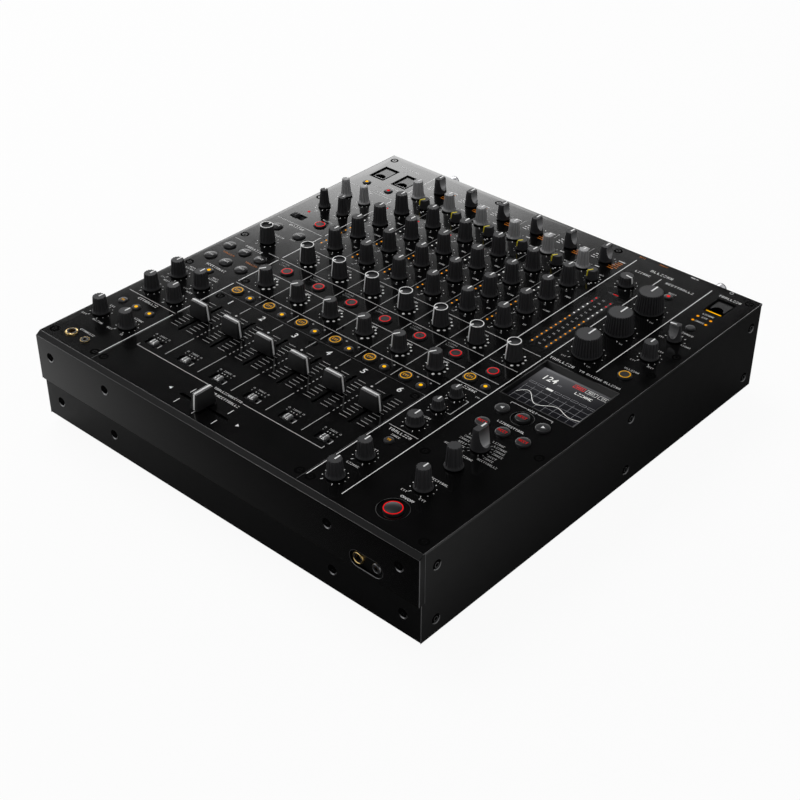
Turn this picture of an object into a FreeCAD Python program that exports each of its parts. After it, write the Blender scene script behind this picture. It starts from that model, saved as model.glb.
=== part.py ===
import FreeCAD, Part
import math
import os
from FreeCAD import Vector

# Six-channel DJ mixer in millimetres. X runs to the right, Y to the rear, Z up.
# Controls are placed from the panel's edges and rows. The pieces are exported with
# the origin on the table, under the middle of the whole object.

# Case
LEFT_ZONE = 64.0            # left edge to the first channel strip
CHANNEL_COUNT = 6
CHANNEL_PITCH = 37.6
RIGHT_ZONE = 119.8          # last channel strip to the right edge
FADER_ZONE = 142.65         # front edge to the rear edge of the fader plate
CASE_H = 80.3               # underside to panel face
FOOT_H = 8.2
FOOT_R = 15.0
FOOT_INSET = 38.0
PANEL_T = 2.0
CASE_T = 1.5
CHAMFER_Y = 4.1
CHAMFER_Z = 3.0
SKIRT_H = 41.5              # front skirt below the chamfer
SKIRT_CORNER = 2.0
PANEL_EDGE = 0.5            # rounding along the panel's two side edges
TRAY_STEP = 0.6             # tray front behind the back of the skirt
SIDE_INSET = 0.4            # side panels in from the panel's edges
TRAY_FRONT_H = 58.0
TRAY_FLANGE_H = 22.0
TRAY_BEND = 1.4

# Rows of a channel strip, each from the row before it, front to rear
CUE_GAP = 8.6
FILTER_GAP = 24.8
EFFECT_GAP = 24.5
SEND_GAP = 25.3
LOW_GAP = 33.7
EQ_PITCH = 28.97
TRIM_GAP = 32.3
SELECTOR_GAP = 20.4
REAR_MARGIN = 29.15

# Places beside the strip's centre line
COMP_DX = 10.2
COMP_DY = -12.1
TRIM_DX = -8.4
SELECTOR_DX = 0.9
CUE_DX = 8.5
SMALL_CUE_DY = -2.1

# Rows of the fader plate from the front edge, columns of the side zones from the side edges
FADER_ROW = 102.65
ASSIGN_ROW = 52.95
CROSS_ROW = 20.75
FX_COLUMN = 46.5
ISOLATOR_COLUMN = 63.3
MULTI_COLUMN = 23.2
SIDE_COLUMN = 31.7
DISPLAY_BELOW_SEND = 12.6
METER_BELOW_LOW = 2.1
PLATE_STRIP = 1.0           # panel strip between chamfer and fader plate
PLATE_SPREAD_LEFT = 0.8     # fader plate past the strips
PLATE_SPREAD_RIGHT = 0.3

# Knob drive: spindle, bush and pot body
SPINDLE_R = 2.4
SPINDLE_FIT = 0.05
BUSH_R = 3.2
BUSH_RISE = 0.3
HOLE_GAP = 0.3
POT_W = 10.4
POT_H = 11.0
POT_BORE = 8.0
KNOB_GAP = 0.8              # knob skirt above the panel
KNOB_FLANGE_H = 2.0
KNOB_EDGE = 0.6
KNOB_CROWN = 2.5            # material above the spindle
FLUTE_R = 0.55
BLADE_W = 4.0
SCOOP_R = 14.0

# Buttons
BUTTON_R = 5.75
SMALL_BUTTON_R = 4.0
FX_ON_R = 7.4
BUTTON_RISE = 1.5
SMALL_BUTTON_RISE = 2.2
BUTTON_EDGE = 0.4
BUTTON_LIP = 1.0
BUTTON_SEAT = 0.1
STEM_R = 1.8
KEY_TRAVEL = 0.8
KEY_GAP = 0.2
KEY_W = 6.0
TAP_DISH_R = 8.85
FX_ON_DISH_R = 11.8
DISH_DEPTH = 0.7

# Faders and slide switches
FADER_TRAVEL = 22.0
CROSS_TRAVEL = 24.0
SLOT_W = 2.7
SLOT_END = 0.4
LEVER_W = 1.7
LEVER_L = 3.2
LEVER_POCKET = 5.0
LEVER_PLAY = 0.3
CAP_GAP = 1.2
CAP_TOP = 15.4
CAP_L = 19.2
CAP_L_TOP = 16.6
CAP_D = 8.4
CAP_D_TOP = 5.2
TRACK_W = 12.0
TRACK_H = 14.0
TRACK_FLOOR = 1.5
TRACK_END = 6.0
SWITCH_END = 1.65
SWITCH_W = 8.3
SWITCH_BODY_H = 8.0
SWITCH_RIM = 2.0
SWITCH_SLOT_W = 2.4
SWITCH_STEM_W = 1.6
SWITCH_STEM_L = 3.0
SWITCH_CAP_L = 6.6
SWITCH_CAP_W = 6.6
SWITCH_RISE = 2.6
SWITCH_TRAVEL = 2.5
MIC_TRAVEL = 6.0

# Display
DISPLAY_W = 69.4
DISPLAY_D = 59.4
DISPLAY_DEPTH = 4.9
DISPLAY_WALL = 0.9
DISPLAY_SLOPE = 2.4
DISPLAY_MODULE_T = 5.0

# Sockets
BIG_JACK_R = 3.25
BIG_NUT_R = 5.1
BIG_BODY_R = 6.2
SMALL_JACK_R = 1.8
SMALL_NUT_R = 3.9
SMALL_BODY_R = 4.2
JACK_RISE = 1.0
JACK_SLOT_R = 7.0           # rounded slot in the skirt around the front sockets
JACK_SHOULDER = 0.8
JACK_DEPTH = 17.0
JACK_LENGTH = 21.0
USB_LEFT_W = 17.7
USB_RIGHT_W = 18.0
USB_D = 24.4
USB_DEPTH = 9.5
USB_WALL = 1.2
USB_LID_T = 1.2
USB_LID_DROP = 1.2
USB_LID_D = 13.5
USB_NOTCH_R = 5.0
USB_LIGHT_D = 2.4
PORT_W = 12.0

# Meters and lamps
METER_W = 3.0
METER_LAMPS = 15
METER_PITCH = 6.17
METER_DX = 14.8             # channel meter left of the strip's centre
MASTER_METER_DX = 7.1
LAMP_R = 1.4
CLIP_W = 11.0
CLIP_D = 2.5

# Rear
RCA_R = 4.2
RCA_HOLE_R = 1.6
RCA_REACH = 12.0
RCA_BODY_W = 12.5
RCA_PITCH = 15.0
RCA_BODY_D = 10.0
XLR_R = 11.0
XLR_BORE_R = 9.3
XLR_DEPTH = 13.0
XLR_FLANGE = 26.0
XLR_FLANGE_T = 2.0
XLR_BODY_D = 18.0
PIN_R = 1.2
PIN_CIRCLE = 5.0
PIN_LENGTH = 10.0
POST_R = 5.0
POST_REACH = 9.0
POST_STEM_R = 2.5
POST_DROP = 7.0             # post centre below the panel face
INLET_W = 30.0
INLET_H = 24.0
INLET_BORE_W = 24.0
INLET_BORE_H = 17.0
INLET_DEPTH = 16.0
INLET_BODY_D = 20.0
BLADE_PIN_W = 2.0
BLADE_PIN_H = 4.0
BLADE_PIN_PITCH = 7.0
BLADE_PIN_LENGTH = 12.0
BLADE_PIN_LIFT = 4.0
ROCKER_W = 13.0
ROCKER_H = 19.0
ROCKER_AXLE_DEPTH = 3.5
ROCKER_GAP = 0.4
ROCKER_TILT = 9.0
ROCKER_AXLE_R = 1.5

# Screws and boards
SCREW_HEAD_R = 3.0
SCREW_HEAD_H = 1.0
SCREW_R = 1.5
SCREW_LENGTH = 5.0
SCREW_SOCKET_R = 1.3
SCREW_FIT = 0.2
BOARD_T = 1.6
BOARD_MARGIN = 7.0
SPACER_R = 3.0
SPACER_H = 8.0
SUPPLY_W = 80.0
SUPPLY_D = 120.0
SUPPLY_MARGIN = 10.0
COIL_W = 40.0
COIL_H = 30.0
SINK_T = 6.0
SINK_L = 60.0
SINK_H = 28.0
CAPACITOR_R = 9.0
CAPACITOR_H = 26.0
CAPACITOR_PITCH = 24.0
LEDGE_T = 1.5
LEDGE_W = 9.5
PLATE_GAP = 0.15

# Derived places
BODY_W = LEFT_ZONE + CHANNEL_COUNT * CHANNEL_PITCH + RIGHT_ZONE
CONTROL_ZONE = (CUE_GAP + FILTER_GAP + EFFECT_GAP + SEND_GAP + LOW_GAP + 3 * EQ_PITCH
                + TRIM_GAP + SELECTOR_GAP + REAR_MARGIN)
BODY_D = FADER_ZONE + CONTROL_ZONE
LEFT = -BODY_W / 2
RIGHT = BODY_W / 2
FRONT = -BODY_D / 2
REAR = BODY_D / 2
BASE = FOOT_H
TOP = FOOT_H + CASE_H
UNDER = TOP - PANEL_T
BOARD_TOP = UNDER - POT_H
TRAY_FRONT = FRONT + PANEL_T + TRAY_STEP
SIDE_FACE = RIGHT - SIDE_INSET

PLATE_REAR = FRONT + FADER_ZONE
PLATE_FRONT = FRONT + CHAMFER_Y + PLATE_STRIP
PLATE_LEFT = LEFT + LEFT_ZONE - PLATE_SPREAD_LEFT
PLATE_RIGHT = LEFT + LEFT_ZONE + CHANNEL_COUNT * CHANNEL_PITCH + PLATE_SPREAD_RIGHT

CUE_Y = PLATE_REAR + CUE_GAP
FILTER_Y = CUE_Y + FILTER_GAP
EFFECT_Y = FILTER_Y + EFFECT_GAP
SEND_Y = EFFECT_Y + SEND_GAP
LOW_Y = SEND_Y + LOW_GAP
HIGH_Y = LOW_Y + 3 * EQ_PITCH
TRIM_Y = HIGH_Y + TRIM_GAP
SELECTOR_Y = TRIM_Y + SELECTOR_GAP
METER_Y = LOW_Y - METER_BELOW_LOW
FADER_Y = FRONT + FADER_ROW
ASSIGN_Y = FRONT + ASSIGN_ROW
CROSS_Y = FRONT + CROSS_ROW
CHANNEL_X = [LEFT + LEFT_ZONE + CHANNEL_PITCH * (i + 0.5) for i in range(CHANNEL_COUNT)]
CROSS_X = (CHANNEL_X[0] + CHANNEL_X[-1]) / 2
MASTER_X = CHANNEL_X[-1] + CHANNEL_PITCH
FX_X = RIGHT - FX_COLUMN
ISOLATOR_X = RIGHT - ISOLATOR_COLUMN
MULTI_X = RIGHT - MULTI_COLUMN
SIDE_X = LEFT + SIDE_COLUMN
DISPLAY_Y = SEND_Y - DISPLAY_BELOW_SEND
ASSIGN_L = SWITCH_CAP_L + 2 * SWITCH_TRAVEL + 2 * SWITCH_END
MIC_L = SWITCH_CAP_L + MIC_TRAVEL + 2 * SWITCH_END
REAR_REACH = RCA_REACH
TINY = 1e-6


def box(x0, x1, y0, y1, z0, z1):
    return Part.makeBox(x1 - x0, y1 - y0, z1 - z0, Vector(x0, y0, z0))


def centred(x, y, width, depth, z0, z1):
    return box(x - width / 2, x + width / 2, y - depth / 2, y + depth / 2, z0, z1)


def post(x, y, z0, z1, radius):
    return Part.makeCylinder(radius, z1 - z0, Vector(x, y, z0))


def rod(start, direction, length, radius):
    return Part.makeCylinder(radius, length, start, direction)


def lathe(outline):
    """Solid of revolution about Z from (radius, height) points."""
    points = [Vector(r, 0, z) for r, z in outline]
    wire = Part.makePolygon(points + points[:1])
    return Part.Face(wire).revolve(Vector(0, 0, 0), Vector(0, 0, 1), 360)


def taper(length0, width0, z0, length1, width1, z1):
    """Block along X that tapers from one rectangle to a smaller one above it."""
    def rectangle(length, width, z):
        corners = [(-1, -1), (1, -1), (1, 1), (-1, 1), (-1, -1)]
        return Part.makePolygon([Vector(a * length / 2, b * width / 2, z) for a, b in corners])
    return Part.makeLoft([rectangle(length0, width0, z0), rectangle(length1, width1, z1)], True, True)


def moved(shape, x, y, z=0.0, turn=0.0):
    """A copy turned clockwise seen from above, then moved."""
    copy = shape.copy()
    copy.rotate(Vector(0, 0, 0), Vector(0, 0, 1), -turn)
    copy.translate(Vector(x, y, z))
    return copy


def save(name, solids):
    shape = Part.makeCompound(solids) if len(solids) > 1 else solids[0].copy()
    shape.translate(Vector(0, -REAR_REACH / 2, 0))
    shape.exportStep("parts/" + name + ".step")


def from_left(distance):
    return LEFT + distance


def from_right(distance):
    return RIGHT - distance


def from_front(distance):
    return FRONT + distance


def from_rear(distance):
    return REAR - distance


# Knob kinds: height, flange, body and top radius, number of flutes
KNOB_KINDS = {
    "eq": (19.0, 7.3, 6.3, 5.3, 12),
    "trim": (16.5, 6.6, 5.3, 4.4, 12),
    "comp": (9.3, 5.2, 5.0, 4.4, 0),
    "send": (16.9, 7.1, 7.0, 5.7, 0),
    "filter": (15.7, 7.3, 6.3, 5.5, 12),
    "plain": (15.2, 7.3, 6.3, 5.5, 12),
    "short": (9.2, 7.3, 5.9, 5.2, 12),
    "small": (8.8, 5.7, 4.8, 4.3, 10),
    "mic": (17.3, 5.8, 4.6, 3.5, 10),
    "isolator": (18.4, 12.3, 11.8, 10.2, 36),
    "input_selector": (15.3, 6.4, 6.0, 5.4, -1),
    "selector": (15.3, 7.2, 6.8, 6.0, -1),
    "fx_selector": (19.3, 7.3, 6.9, 6.2, -1),
}

# Single knobs: name, kind, place and pointer angle clockwise from the rear
SIDE_KNOBS = [
    ("master_level", "short", MASTER_X, TRIM_Y - 1.0, 100),
    ("isolator_hi", "isolator", ISOLATOR_X, from_rear(71.75), 0),
    ("isolator_mid", "isolator", ISOLATOR_X, from_rear(114.55), 0),
    ("isolator_low", "isolator", ISOLATOR_X, from_rear(157.65), 0),
    ("multi_select", "selector", MULTI_X, from_rear(95.65), -100),
    ("multi_level", "plain", MULTI_X, from_rear(129.95), 0),
    ("booth_hi", "small", MASTER_X - 0.3, PLATE_REAR + 14.2, 0),
    ("booth_low", "small", MASTER_X - 0.3, PLATE_REAR - 6.7, 0),
    ("booth_level", "short", MASTER_X - 0.3, from_front(110.15), 0),
    ("phones_b_mix", "plain", MASTER_X - 0.3, from_front(56.65), 0),
    ("phones_b_level", "plain", MASTER_X - 0.3, from_front(25.75), 0),
    ("fx_select", "fx_selector", FX_X, from_front(118.65), 0),
    ("fx_time", "eq", FX_X, from_front(89.55), 0),
    ("fx_depth", "eq", FX_X, from_front(56.85), 0),
    ("phones_a_mix", "plain", from_left(15.3), from_front(54.15), 0),
    ("phones_a_level", "plain", from_left(48.2), from_front(54.15), 0),
    ("filter_resonance", "send", SIDE_X, from_rear(201.35), 0),
]

# One strip's knobs: name, kind, place from the strip's centre line, pointer angle
STRIP_KNOBS = [
    ("selector", "input_selector", SELECTOR_DX, SELECTOR_Y, 0),
    ("trim", "trim", TRIM_DX, TRIM_Y, 0),
    ("comp", "comp", COMP_DX, TRIM_Y + COMP_DY, -150),
    ("hi", "eq", 0, HIGH_Y, 0),
    ("hi_mid", "eq", 0, HIGH_Y - EQ_PITCH, 0),
    ("low_mid", "eq", 0, LOW_Y + EQ_PITCH, 0),
    ("low", "eq", 0, LOW_Y, 0),
    ("send", "send", 0, SEND_Y, -150),
    ("filter", "filter", 0, FILTER_Y, -150),
]

# Knobs that share one node: microphone, effect send and master send
ROW_KNOBS = [
    ("mic", from_left(22.7), from_rear(91.65), 0),
    ("mic", from_left(45.4), from_rear(91.65), 0),
    ("mic", from_left(22.7), from_rear(120.45), 0),
    ("mic", from_left(45.4), from_rear(120.45), 0),
    ("plain", from_left(17.6), from_front(136.05), 0),
    ("plain", from_left(46.3), from_front(136.05), 0),
    ("plain", from_left(17.6), from_front(106.45), 0),
    ("plain", from_left(46.3), from_front(106.45), 0),
    ("send", MASTER_X, SEND_Y, -150),
]

# Buttons: places of each group
CUE_BUTTONS = [(x - CUE_DX, CUE_Y) for x in CHANNEL_X] + [(MASTER_X - CUE_DX, CUE_Y + 31.5)]
LED_BUTTONS = [(x + CUE_DX, CUE_Y + SMALL_CUE_DY) for x in CHANNEL_X]
LED_BUTTONS += [(MASTER_X + CUE_DX, CUE_Y + 29.5), (ISOLATOR_X, from_rear(43.65))]
LED_BUTTONS += [(MULTI_X, from_rear(72.15)), (MASTER_X - 0.3, from_front(81.65))]
LED_BUTTONS += [(SIDE_X + dx, from_front(77.75)) for dx in (-16.9, -0.2, 16.3)]
LED_BUTTONS += [(SIDE_X - 0.2, PLATE_REAR + 15.3)]
LED_BUTTONS += [(SIDE_X + dx, from_rear(59.65)) for dx in (-12.6, 14.7)]
RING_BUTTONS = [(x, EFFECT_Y) for x in CHANNEL_X + [MASTER_X]]
RING_BUTTONS += [(SIDE_X + 13.7, from_rear(149.55)), (MULTI_X, from_rear(163.45))]
ROUND_BUTTONS = [(SIDE_X + dx, PLATE_REAR + dy) for dy in (57.0, 34.5) for dx in (-19.15, 0, 19.15)]
ROUND_BUTTONS += [(SIDE_X + dx, from_rear(176.85)) for dx in (-13.6, 14.4)]
FX_BUTTONS = [(FX_X + dx, PLATE_REAR + dy) for dy in (25.0, 1.7) for dx in (-19.0, 0, 19.0)]
FX_ON = [(FX_X, from_front(25.55))]
BUTTON_GROUPS = {
    "cue_buttons": (CUE_BUTTONS, BUTTON_R, BUTTON_RISE),
    "ring_buttons": (RING_BUTTONS, BUTTON_R, BUTTON_RISE),
    "led_buttons": (LED_BUTTONS, SMALL_BUTTON_R, SMALL_BUTTON_RISE),
    "round_buttons": (ROUND_BUTTONS, BUTTON_R, BUTTON_RISE),
    "fx_buttons": (FX_BUTTONS, BUTTON_R, BUTTON_RISE),
    "fx_on_button": (FX_ON, FX_ON_R, BUTTON_RISE),
}
MIC_SWITCH = (SIDE_X - 13.0, from_rear(150.15))

# Sockets, bays, lamps
PHONES_TOP = [(from_left(22.0), from_front(18.75)), (from_left(39.2), from_front(18.4))]
PHONES_FRONT_X = [from_right(57.0), from_right(39.8)]
PHONES_FRONT_Z = BASE + 46.3
USB_BAYS = [
    (from_left(19.1), from_rear(35.05), USB_LEFT_W, False),
    (from_left(46.4), from_rear(35.05), USB_LEFT_W, False),
    (MULTI_X + 0.5, from_rear(29.15), USB_RIGHT_W, True),
]
METERS = [x - METER_DX for x in CHANNEL_X]
METERS += [MASTER_X + 0.95 - MASTER_METER_DX, MASTER_X + 0.95 + MASTER_METER_DX]
LAMPS = [(MULTI_X + dx, from_rear(dy)) for dy in (51.85, 59.35) for dx in (-5.9, 6.3)]
LAMPS += [(SIDE_X - 12.2, from_rear(137.35))]
CLIP = (MASTER_X + 0.8, from_rear(69.85))

# Screws: top panel, fader plate, front (x and height), sides (y and height)
PANEL_SCREWS = [(from_left(7.2), from_front(13.3)), (from_left(58.0), from_front(13.4)),
                (from_left(7.2), PLATE_REAR + 14.8), (from_left(66.9), PLATE_REAR + 24.2),
                (from_left(7.2), from_rear(205.6)), (from_left(7.2), from_rear(110.1)),
                (from_left(7.7), from_rear(8.3)), (CROSS_X, PLATE_REAR + 24.5),
                (MASTER_X - 21.0, PLATE_REAR + 24.5), (MASTER_X - 13.1, from_front(13.7)),
                (from_left(137.2), from_rear(8.3)), (from_right(139.2), from_rear(7.7)),
                (from_right(7.7), from_rear(7.7)), (from_right(7.7), from_rear(115.3)),
                (from_right(8.0), from_rear(149.7)), (from_right(7.9), PLATE_REAR - 4.7),
                (from_right(73.7), from_front(89.8)), (from_right(8.3), from_front(14.1))]
PLATE_SCREWS = [(PLATE_LEFT + 5.5, PLATE_REAR - 6.0), (CROSS_X, PLATE_REAR - 6.0),
                (PLATE_RIGHT - 5.2, PLATE_REAR - 6.0), (PLATE_LEFT + 5.5, from_front(13.5)),
                (PLATE_RIGHT - 5.2, from_front(13.8))]
FRONT_SCREW_X = [from_left(15.2), from_left(83.0), from_right(85.4), from_right(18.3)]
SKIRT_SCREW_Z = BASE + 61.8
TRAY_SCREW_X = [from_left(18.0), from_left(85.0), from_right(83.8), from_right(16.8)]
TRAY_SCREW_Z = BASE + 18.5
SIDE_SCREW_Y = [from_front(18.4), from_front(243.8), from_rear(12.4)]
SIDE_SCREW_Z = [BASE + 13.0, BASE + 62.0]


def spindle_top(height):
    return height - KNOB_CROWN


def knob_body(height, flange_r, body_r, top_r, bore_r):
    shoulder = KNOB_GAP + KNOB_FLANGE_H
    return lathe([(bore_r, KNOB_GAP), (flange_r, KNOB_GAP), (flange_r, shoulder - KNOB_EDGE),
                  (body_r, shoulder), (top_r, height - KNOB_EDGE), (top_r - KNOB_EDGE, height),
                  (0, height), (0, spindle_top(height)), (bore_r, spindle_top(height))])


def flute_cutters(height, body_r, top_r, count):
    low = KNOB_GAP + KNOB_FLANGE_H + KNOB_EDGE
    cutters = []
    for i in range(count):
        angle = 2 * math.pi * (i + 0.5) / count
        out = Vector(math.cos(angle), math.sin(angle), 0)
        foot = out * (body_r + FLUTE_R / 3) + Vector(0, 0, low)
        tip = out * (top_r + FLUTE_R / 3) + Vector(0, 0, height + KNOB_EDGE)
        cutters.append(rod(foot, tip - foot, (tip - foot).Length, FLUTE_R))
    return cutters


def blade_cutters(height, flange_r):
    span = 2 * flange_r
    cutters = []
    for side in (-1, 1):
        start = Vector(side * (BLADE_W / 2 + SCOOP_R), -span, height + KNOB_EDGE)
        cutters.append(rod(start, Vector(0, 1, 0), 2 * span, SCOOP_R))
    return cutters


def knob(kind):
    """Knob cap and its spindle, with the panel face at z = 0 and the pointer to the rear."""
    height, flange_r, body_r, top_r, flutes = KNOB_KINDS[kind]
    cap = knob_body(height, flange_r, body_r, top_r, SPINDLE_R + SPINDLE_FIT)
    if flutes > 0:
        cap = cap.cut(flute_cutters(height, body_r, top_r, flutes))
    if flutes < 0:
        cap = cap.cut(blade_cutters(height, flange_r))
    foot = -PANEL_T - POT_BORE
    spindle = post(0, 0, foot, spindle_top(height), SPINDLE_R)
    return [cap, spindle]


def pot(x, y):
    """Pot or rotary switch on the control board, with its bush through the panel."""
    body = centred(x, y, POT_W, POT_W, BOARD_TOP, UNDER)
    bush = post(x, y, UNDER, TOP + BUSH_RISE, BUSH_R)
    bore = post(x, y, UNDER - POT_BORE - LEVER_PLAY, TOP + BUSH_RISE, SPINDLE_R + SPINDLE_FIT)
    return body.fuse(bush).cut(bore).removeSplitter()


def button(x, y, radius, rise):
    """Button with a lip under the panel and a stem down to its key."""
    cap = lathe([(0, TOP - PANEL_T - BUTTON_SEAT), (radius, TOP - PANEL_T - BUTTON_SEAT),
                 (radius, TOP + rise - BUTTON_EDGE), (radius - BUTTON_EDGE, TOP + rise), (0, TOP + rise)])
    lip_top = UNDER - BUTTON_SEAT
    lip = post(0, 0, lip_top - BUTTON_LIP, lip_top, radius + BUTTON_LIP)
    stem = post(0, 0, key_top() + KEY_TRAVEL + KEY_GAP, lip_top - BUTTON_LIP, STEM_R)
    return moved(cap.fuse([lip, stem]).removeSplitter(), x, y)


def key_top():
    return BOARD_TOP + POT_H / 2


def fader_cap():
    """Fader cap and lever, panel face at z = 0, travel along Y."""
    cap = taper(CAP_L, CAP_D, CAP_GAP, CAP_L_TOP, CAP_D_TOP, CAP_TOP)
    pocket_top = CAP_GAP + LEVER_POCKET
    gap = 2 * SPINDLE_FIT
    cap = cap.cut(centred(0, 0, LEVER_W + gap, LEVER_L + gap, 0, pocket_top))
    foot = -PANEL_T - TRACK_H + TRACK_FLOOR + LEVER_PLAY
    lever = centred(0, 0, LEVER_W, LEVER_L, foot, pocket_top)
    return [cap, lever]


def fader_track(travel):
    length = 2 * travel + LEVER_L + 2 * SLOT_END
    body = centred(0, 0, TRACK_W, length + 2 * TRACK_END, -PANEL_T - TRACK_H, -PANEL_T)
    return body.cut(centred(0, 0, SLOT_W, length, -PANEL_T - TRACK_H + TRACK_FLOOR, 0))


def fader_slot(travel):
    length = 2 * travel + LEVER_L + 2 * SLOT_END
    return centred(0, 0, SLOT_W, length, -2 * PANEL_T, PANEL_T)


def switch_cap():
    """Slide switch lever, panel face at z = 0."""
    cap = taper(SWITCH_CAP_L, SWITCH_CAP_W, LEVER_PLAY - PANEL_T, SWITCH_CAP_L - KNOB_EDGE,
                SWITCH_CAP_W - KNOB_EDGE, SWITCH_RISE)
    foot = -PANEL_T - SWITCH_BODY_H + SWITCH_RIM + LEVER_PLAY
    stem = centred(0, 0, SWITCH_STEM_L, SWITCH_STEM_W, foot, LEVER_PLAY - PANEL_T)
    return cap.fuse(stem).removeSplitter()


def switch_body(length):
    width = SWITCH_W + 2 * SWITCH_RIM
    body = centred(0, 0, length + 2 * SWITCH_RIM, width, -PANEL_T - SWITCH_BODY_H, -PANEL_T)
    slot_foot = -PANEL_T - SWITCH_BODY_H + SWITCH_RIM
    return body.cut(centred(0, 0, length - SWITCH_RIM, SWITCH_SLOT_W, slot_foot, 0))


def screw(place, inward):
    """Screw with a hex socket; place is the middle of the seat of its head."""
    outward = inward * -1
    head = rod(place, outward, SCREW_HEAD_H, SCREW_HEAD_R)
    shank = rod(place, inward, SCREW_LENGTH, SCREW_R)
    socket = rod(place + outward * (SCREW_HEAD_H / 3), outward, SCREW_HEAD_H, SCREW_SOCKET_R)
    return head.fuse(shank).cut(socket).removeSplitter()


def screw_hole(face, inward, wall):
    """Counterbored hole cutter for a screw; the head lies just under the face."""
    seat = face + inward * screw_seat(wall)
    head = rod(seat, inward * -1, wall, SCREW_HEAD_R + SCREW_FIT)
    return head.fuse(rod(face, inward, 2 * SCREW_LENGTH, SCREW_R + SCREW_FIT))


def screw_seat(wall):
    return min(SCREW_HEAD_H + SCREW_FIT / 2, 0.75 * wall)


def jack(start, direction, wall, bore_r, nut_r, body_r):
    """Phones socket: nut on the face, body behind the wall, blind bore from the mouth."""
    mouth = start - direction * JACK_RISE
    nut = rod(mouth, direction, JACK_RISE, nut_r)
    neck = rod(start, direction, wall, nut_r - JACK_SHOULDER)
    body = rod(start + direction * wall, direction, JACK_LENGTH - wall, body_r)
    bore = rod(mouth, direction, JACK_RISE + JACK_DEPTH, bore_r)
    return nut.fuse([neck, body]).cut(bore).removeSplitter()


def usb_bay(width, lit):
    """Tub, lid with a finger notch, port and light bar; panel face at z = 0."""
    tub_w = width - HOLE_GAP
    tub_d = USB_D - HOLE_GAP
    inner_w = tub_w - 2 * USB_WALL
    inner_d = tub_d - 2 * USB_WALL
    floor = USB_WALL - USB_DEPTH
    tub = centred(0, 0, tub_w, tub_d, -USB_DEPTH, 0).cut(centred(0, 0, inner_w, inner_d, floor, 1))
    foot = centred(0, 0, inner_w, inner_d, BOARD_TOP - TOP, -USB_DEPTH)
    lid_top = -USB_LID_DROP
    rear = inner_d / 2
    lid = box(-inner_w / 2, inner_w / 2, rear - USB_LID_D, rear, lid_top - USB_LID_T, lid_top)
    lid = lid.cut(post(0, rear - USB_LID_D, lid_top - 2 * USB_LID_T, 1, USB_NOTCH_R))
    port_front = rear - USB_LID_D + USB_NOTCH_R + HOLE_GAP
    port = box(-PORT_W / 2, PORT_W / 2, port_front, rear, floor, lid_top - USB_LID_T)
    solids = [tub.fuse(foot).removeSplitter(), lid, port]
    if lit:
        solids.append(box(-inner_w / 2, inner_w / 2, -rear, -rear + USB_LIGHT_D, floor, -USB_LID_DROP))
    return solids


def all_knobs():
    """Every knob as (name or None, kind, x, y, pointer)."""
    knobs = list(SIDE_KNOBS)
    for i, x in enumerate(CHANNEL_X):
        for name, kind, dx, y, pointer in STRIP_KNOBS:
            knobs.append(("channel_1_" + name if i == 0 else None, kind, x + dx, y, pointer))
    return knobs + [(None, kind, x, y, pointer) for kind, x, y, pointer in ROW_KNOBS]


def panel_profile():
    """Bent sheet seen from the side: flat top, chamfer and front skirt."""
    bend = math.atan2(CHAMFER_Z, CHAMFER_Y)
    skirt_foot = TOP - CHAMFER_Z - SKIRT_H
    inner_y = FRONT + CHAMFER_Y + PANEL_T * math.tan(bend / 2)
    inner_z = TOP - CHAMFER_Z - PANEL_T * math.cos(bend) / (1 + math.sin(bend))
    return [(REAR, TOP), (FRONT + CHAMFER_Y, TOP), (FRONT, TOP - CHAMFER_Z), (FRONT, skirt_foot),
            (FRONT + PANEL_T, skirt_foot), (FRONT + PANEL_T, inner_z), (inner_y, UNDER), (REAR, UNDER)]


def edges_at(shape, test):
    return [edge for edge in shape.Edges if all(test(v.Point) for v in edge.Vertexes)]


def along_x(edge):
    return edge.BoundBox.XLength > TINY


def rounded_panel():
    points = [Vector(LEFT, y, z) for y, z in panel_profile()]
    sheet = Part.Face(Part.makePolygon(points + points[:1])).extrude(Vector(BODY_W, 0, 0))
    foot = TOP - CHAMFER_Z - SKIRT_H
    corners = edges_at(sheet, lambda p: abs(p.z - foot) < TINY)
    sheet = sheet.makeFillet(SKIRT_CORNER, [edge for edge in corners if not along_x(edge)])
    sides = edges_at(sheet, lambda p: abs(p.z - TOP) < TINY)
    return sheet.makeFillet(PANEL_EDGE, [edge for edge in sides if not along_x(edge)])


def fader_ledges():
    """Two ledges under the panel that carry the fader plate."""
    low = UNDER - LEDGE_T
    front, rear = PLATE_FRONT + LEDGE_W, PLATE_REAR - LEDGE_T
    left = box(PLATE_LEFT - LEDGE_T, PLATE_LEFT + LEDGE_W, front, rear, low, UNDER)
    right = box(PLATE_RIGHT - LEDGE_W, PLATE_RIGHT + LEDGE_T, front, rear, low, UNDER)
    return [left, right]


def through(x, y, radius):
    return post(x, y, UNDER - PANEL_T, TOP + PANEL_T, radius)


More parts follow.
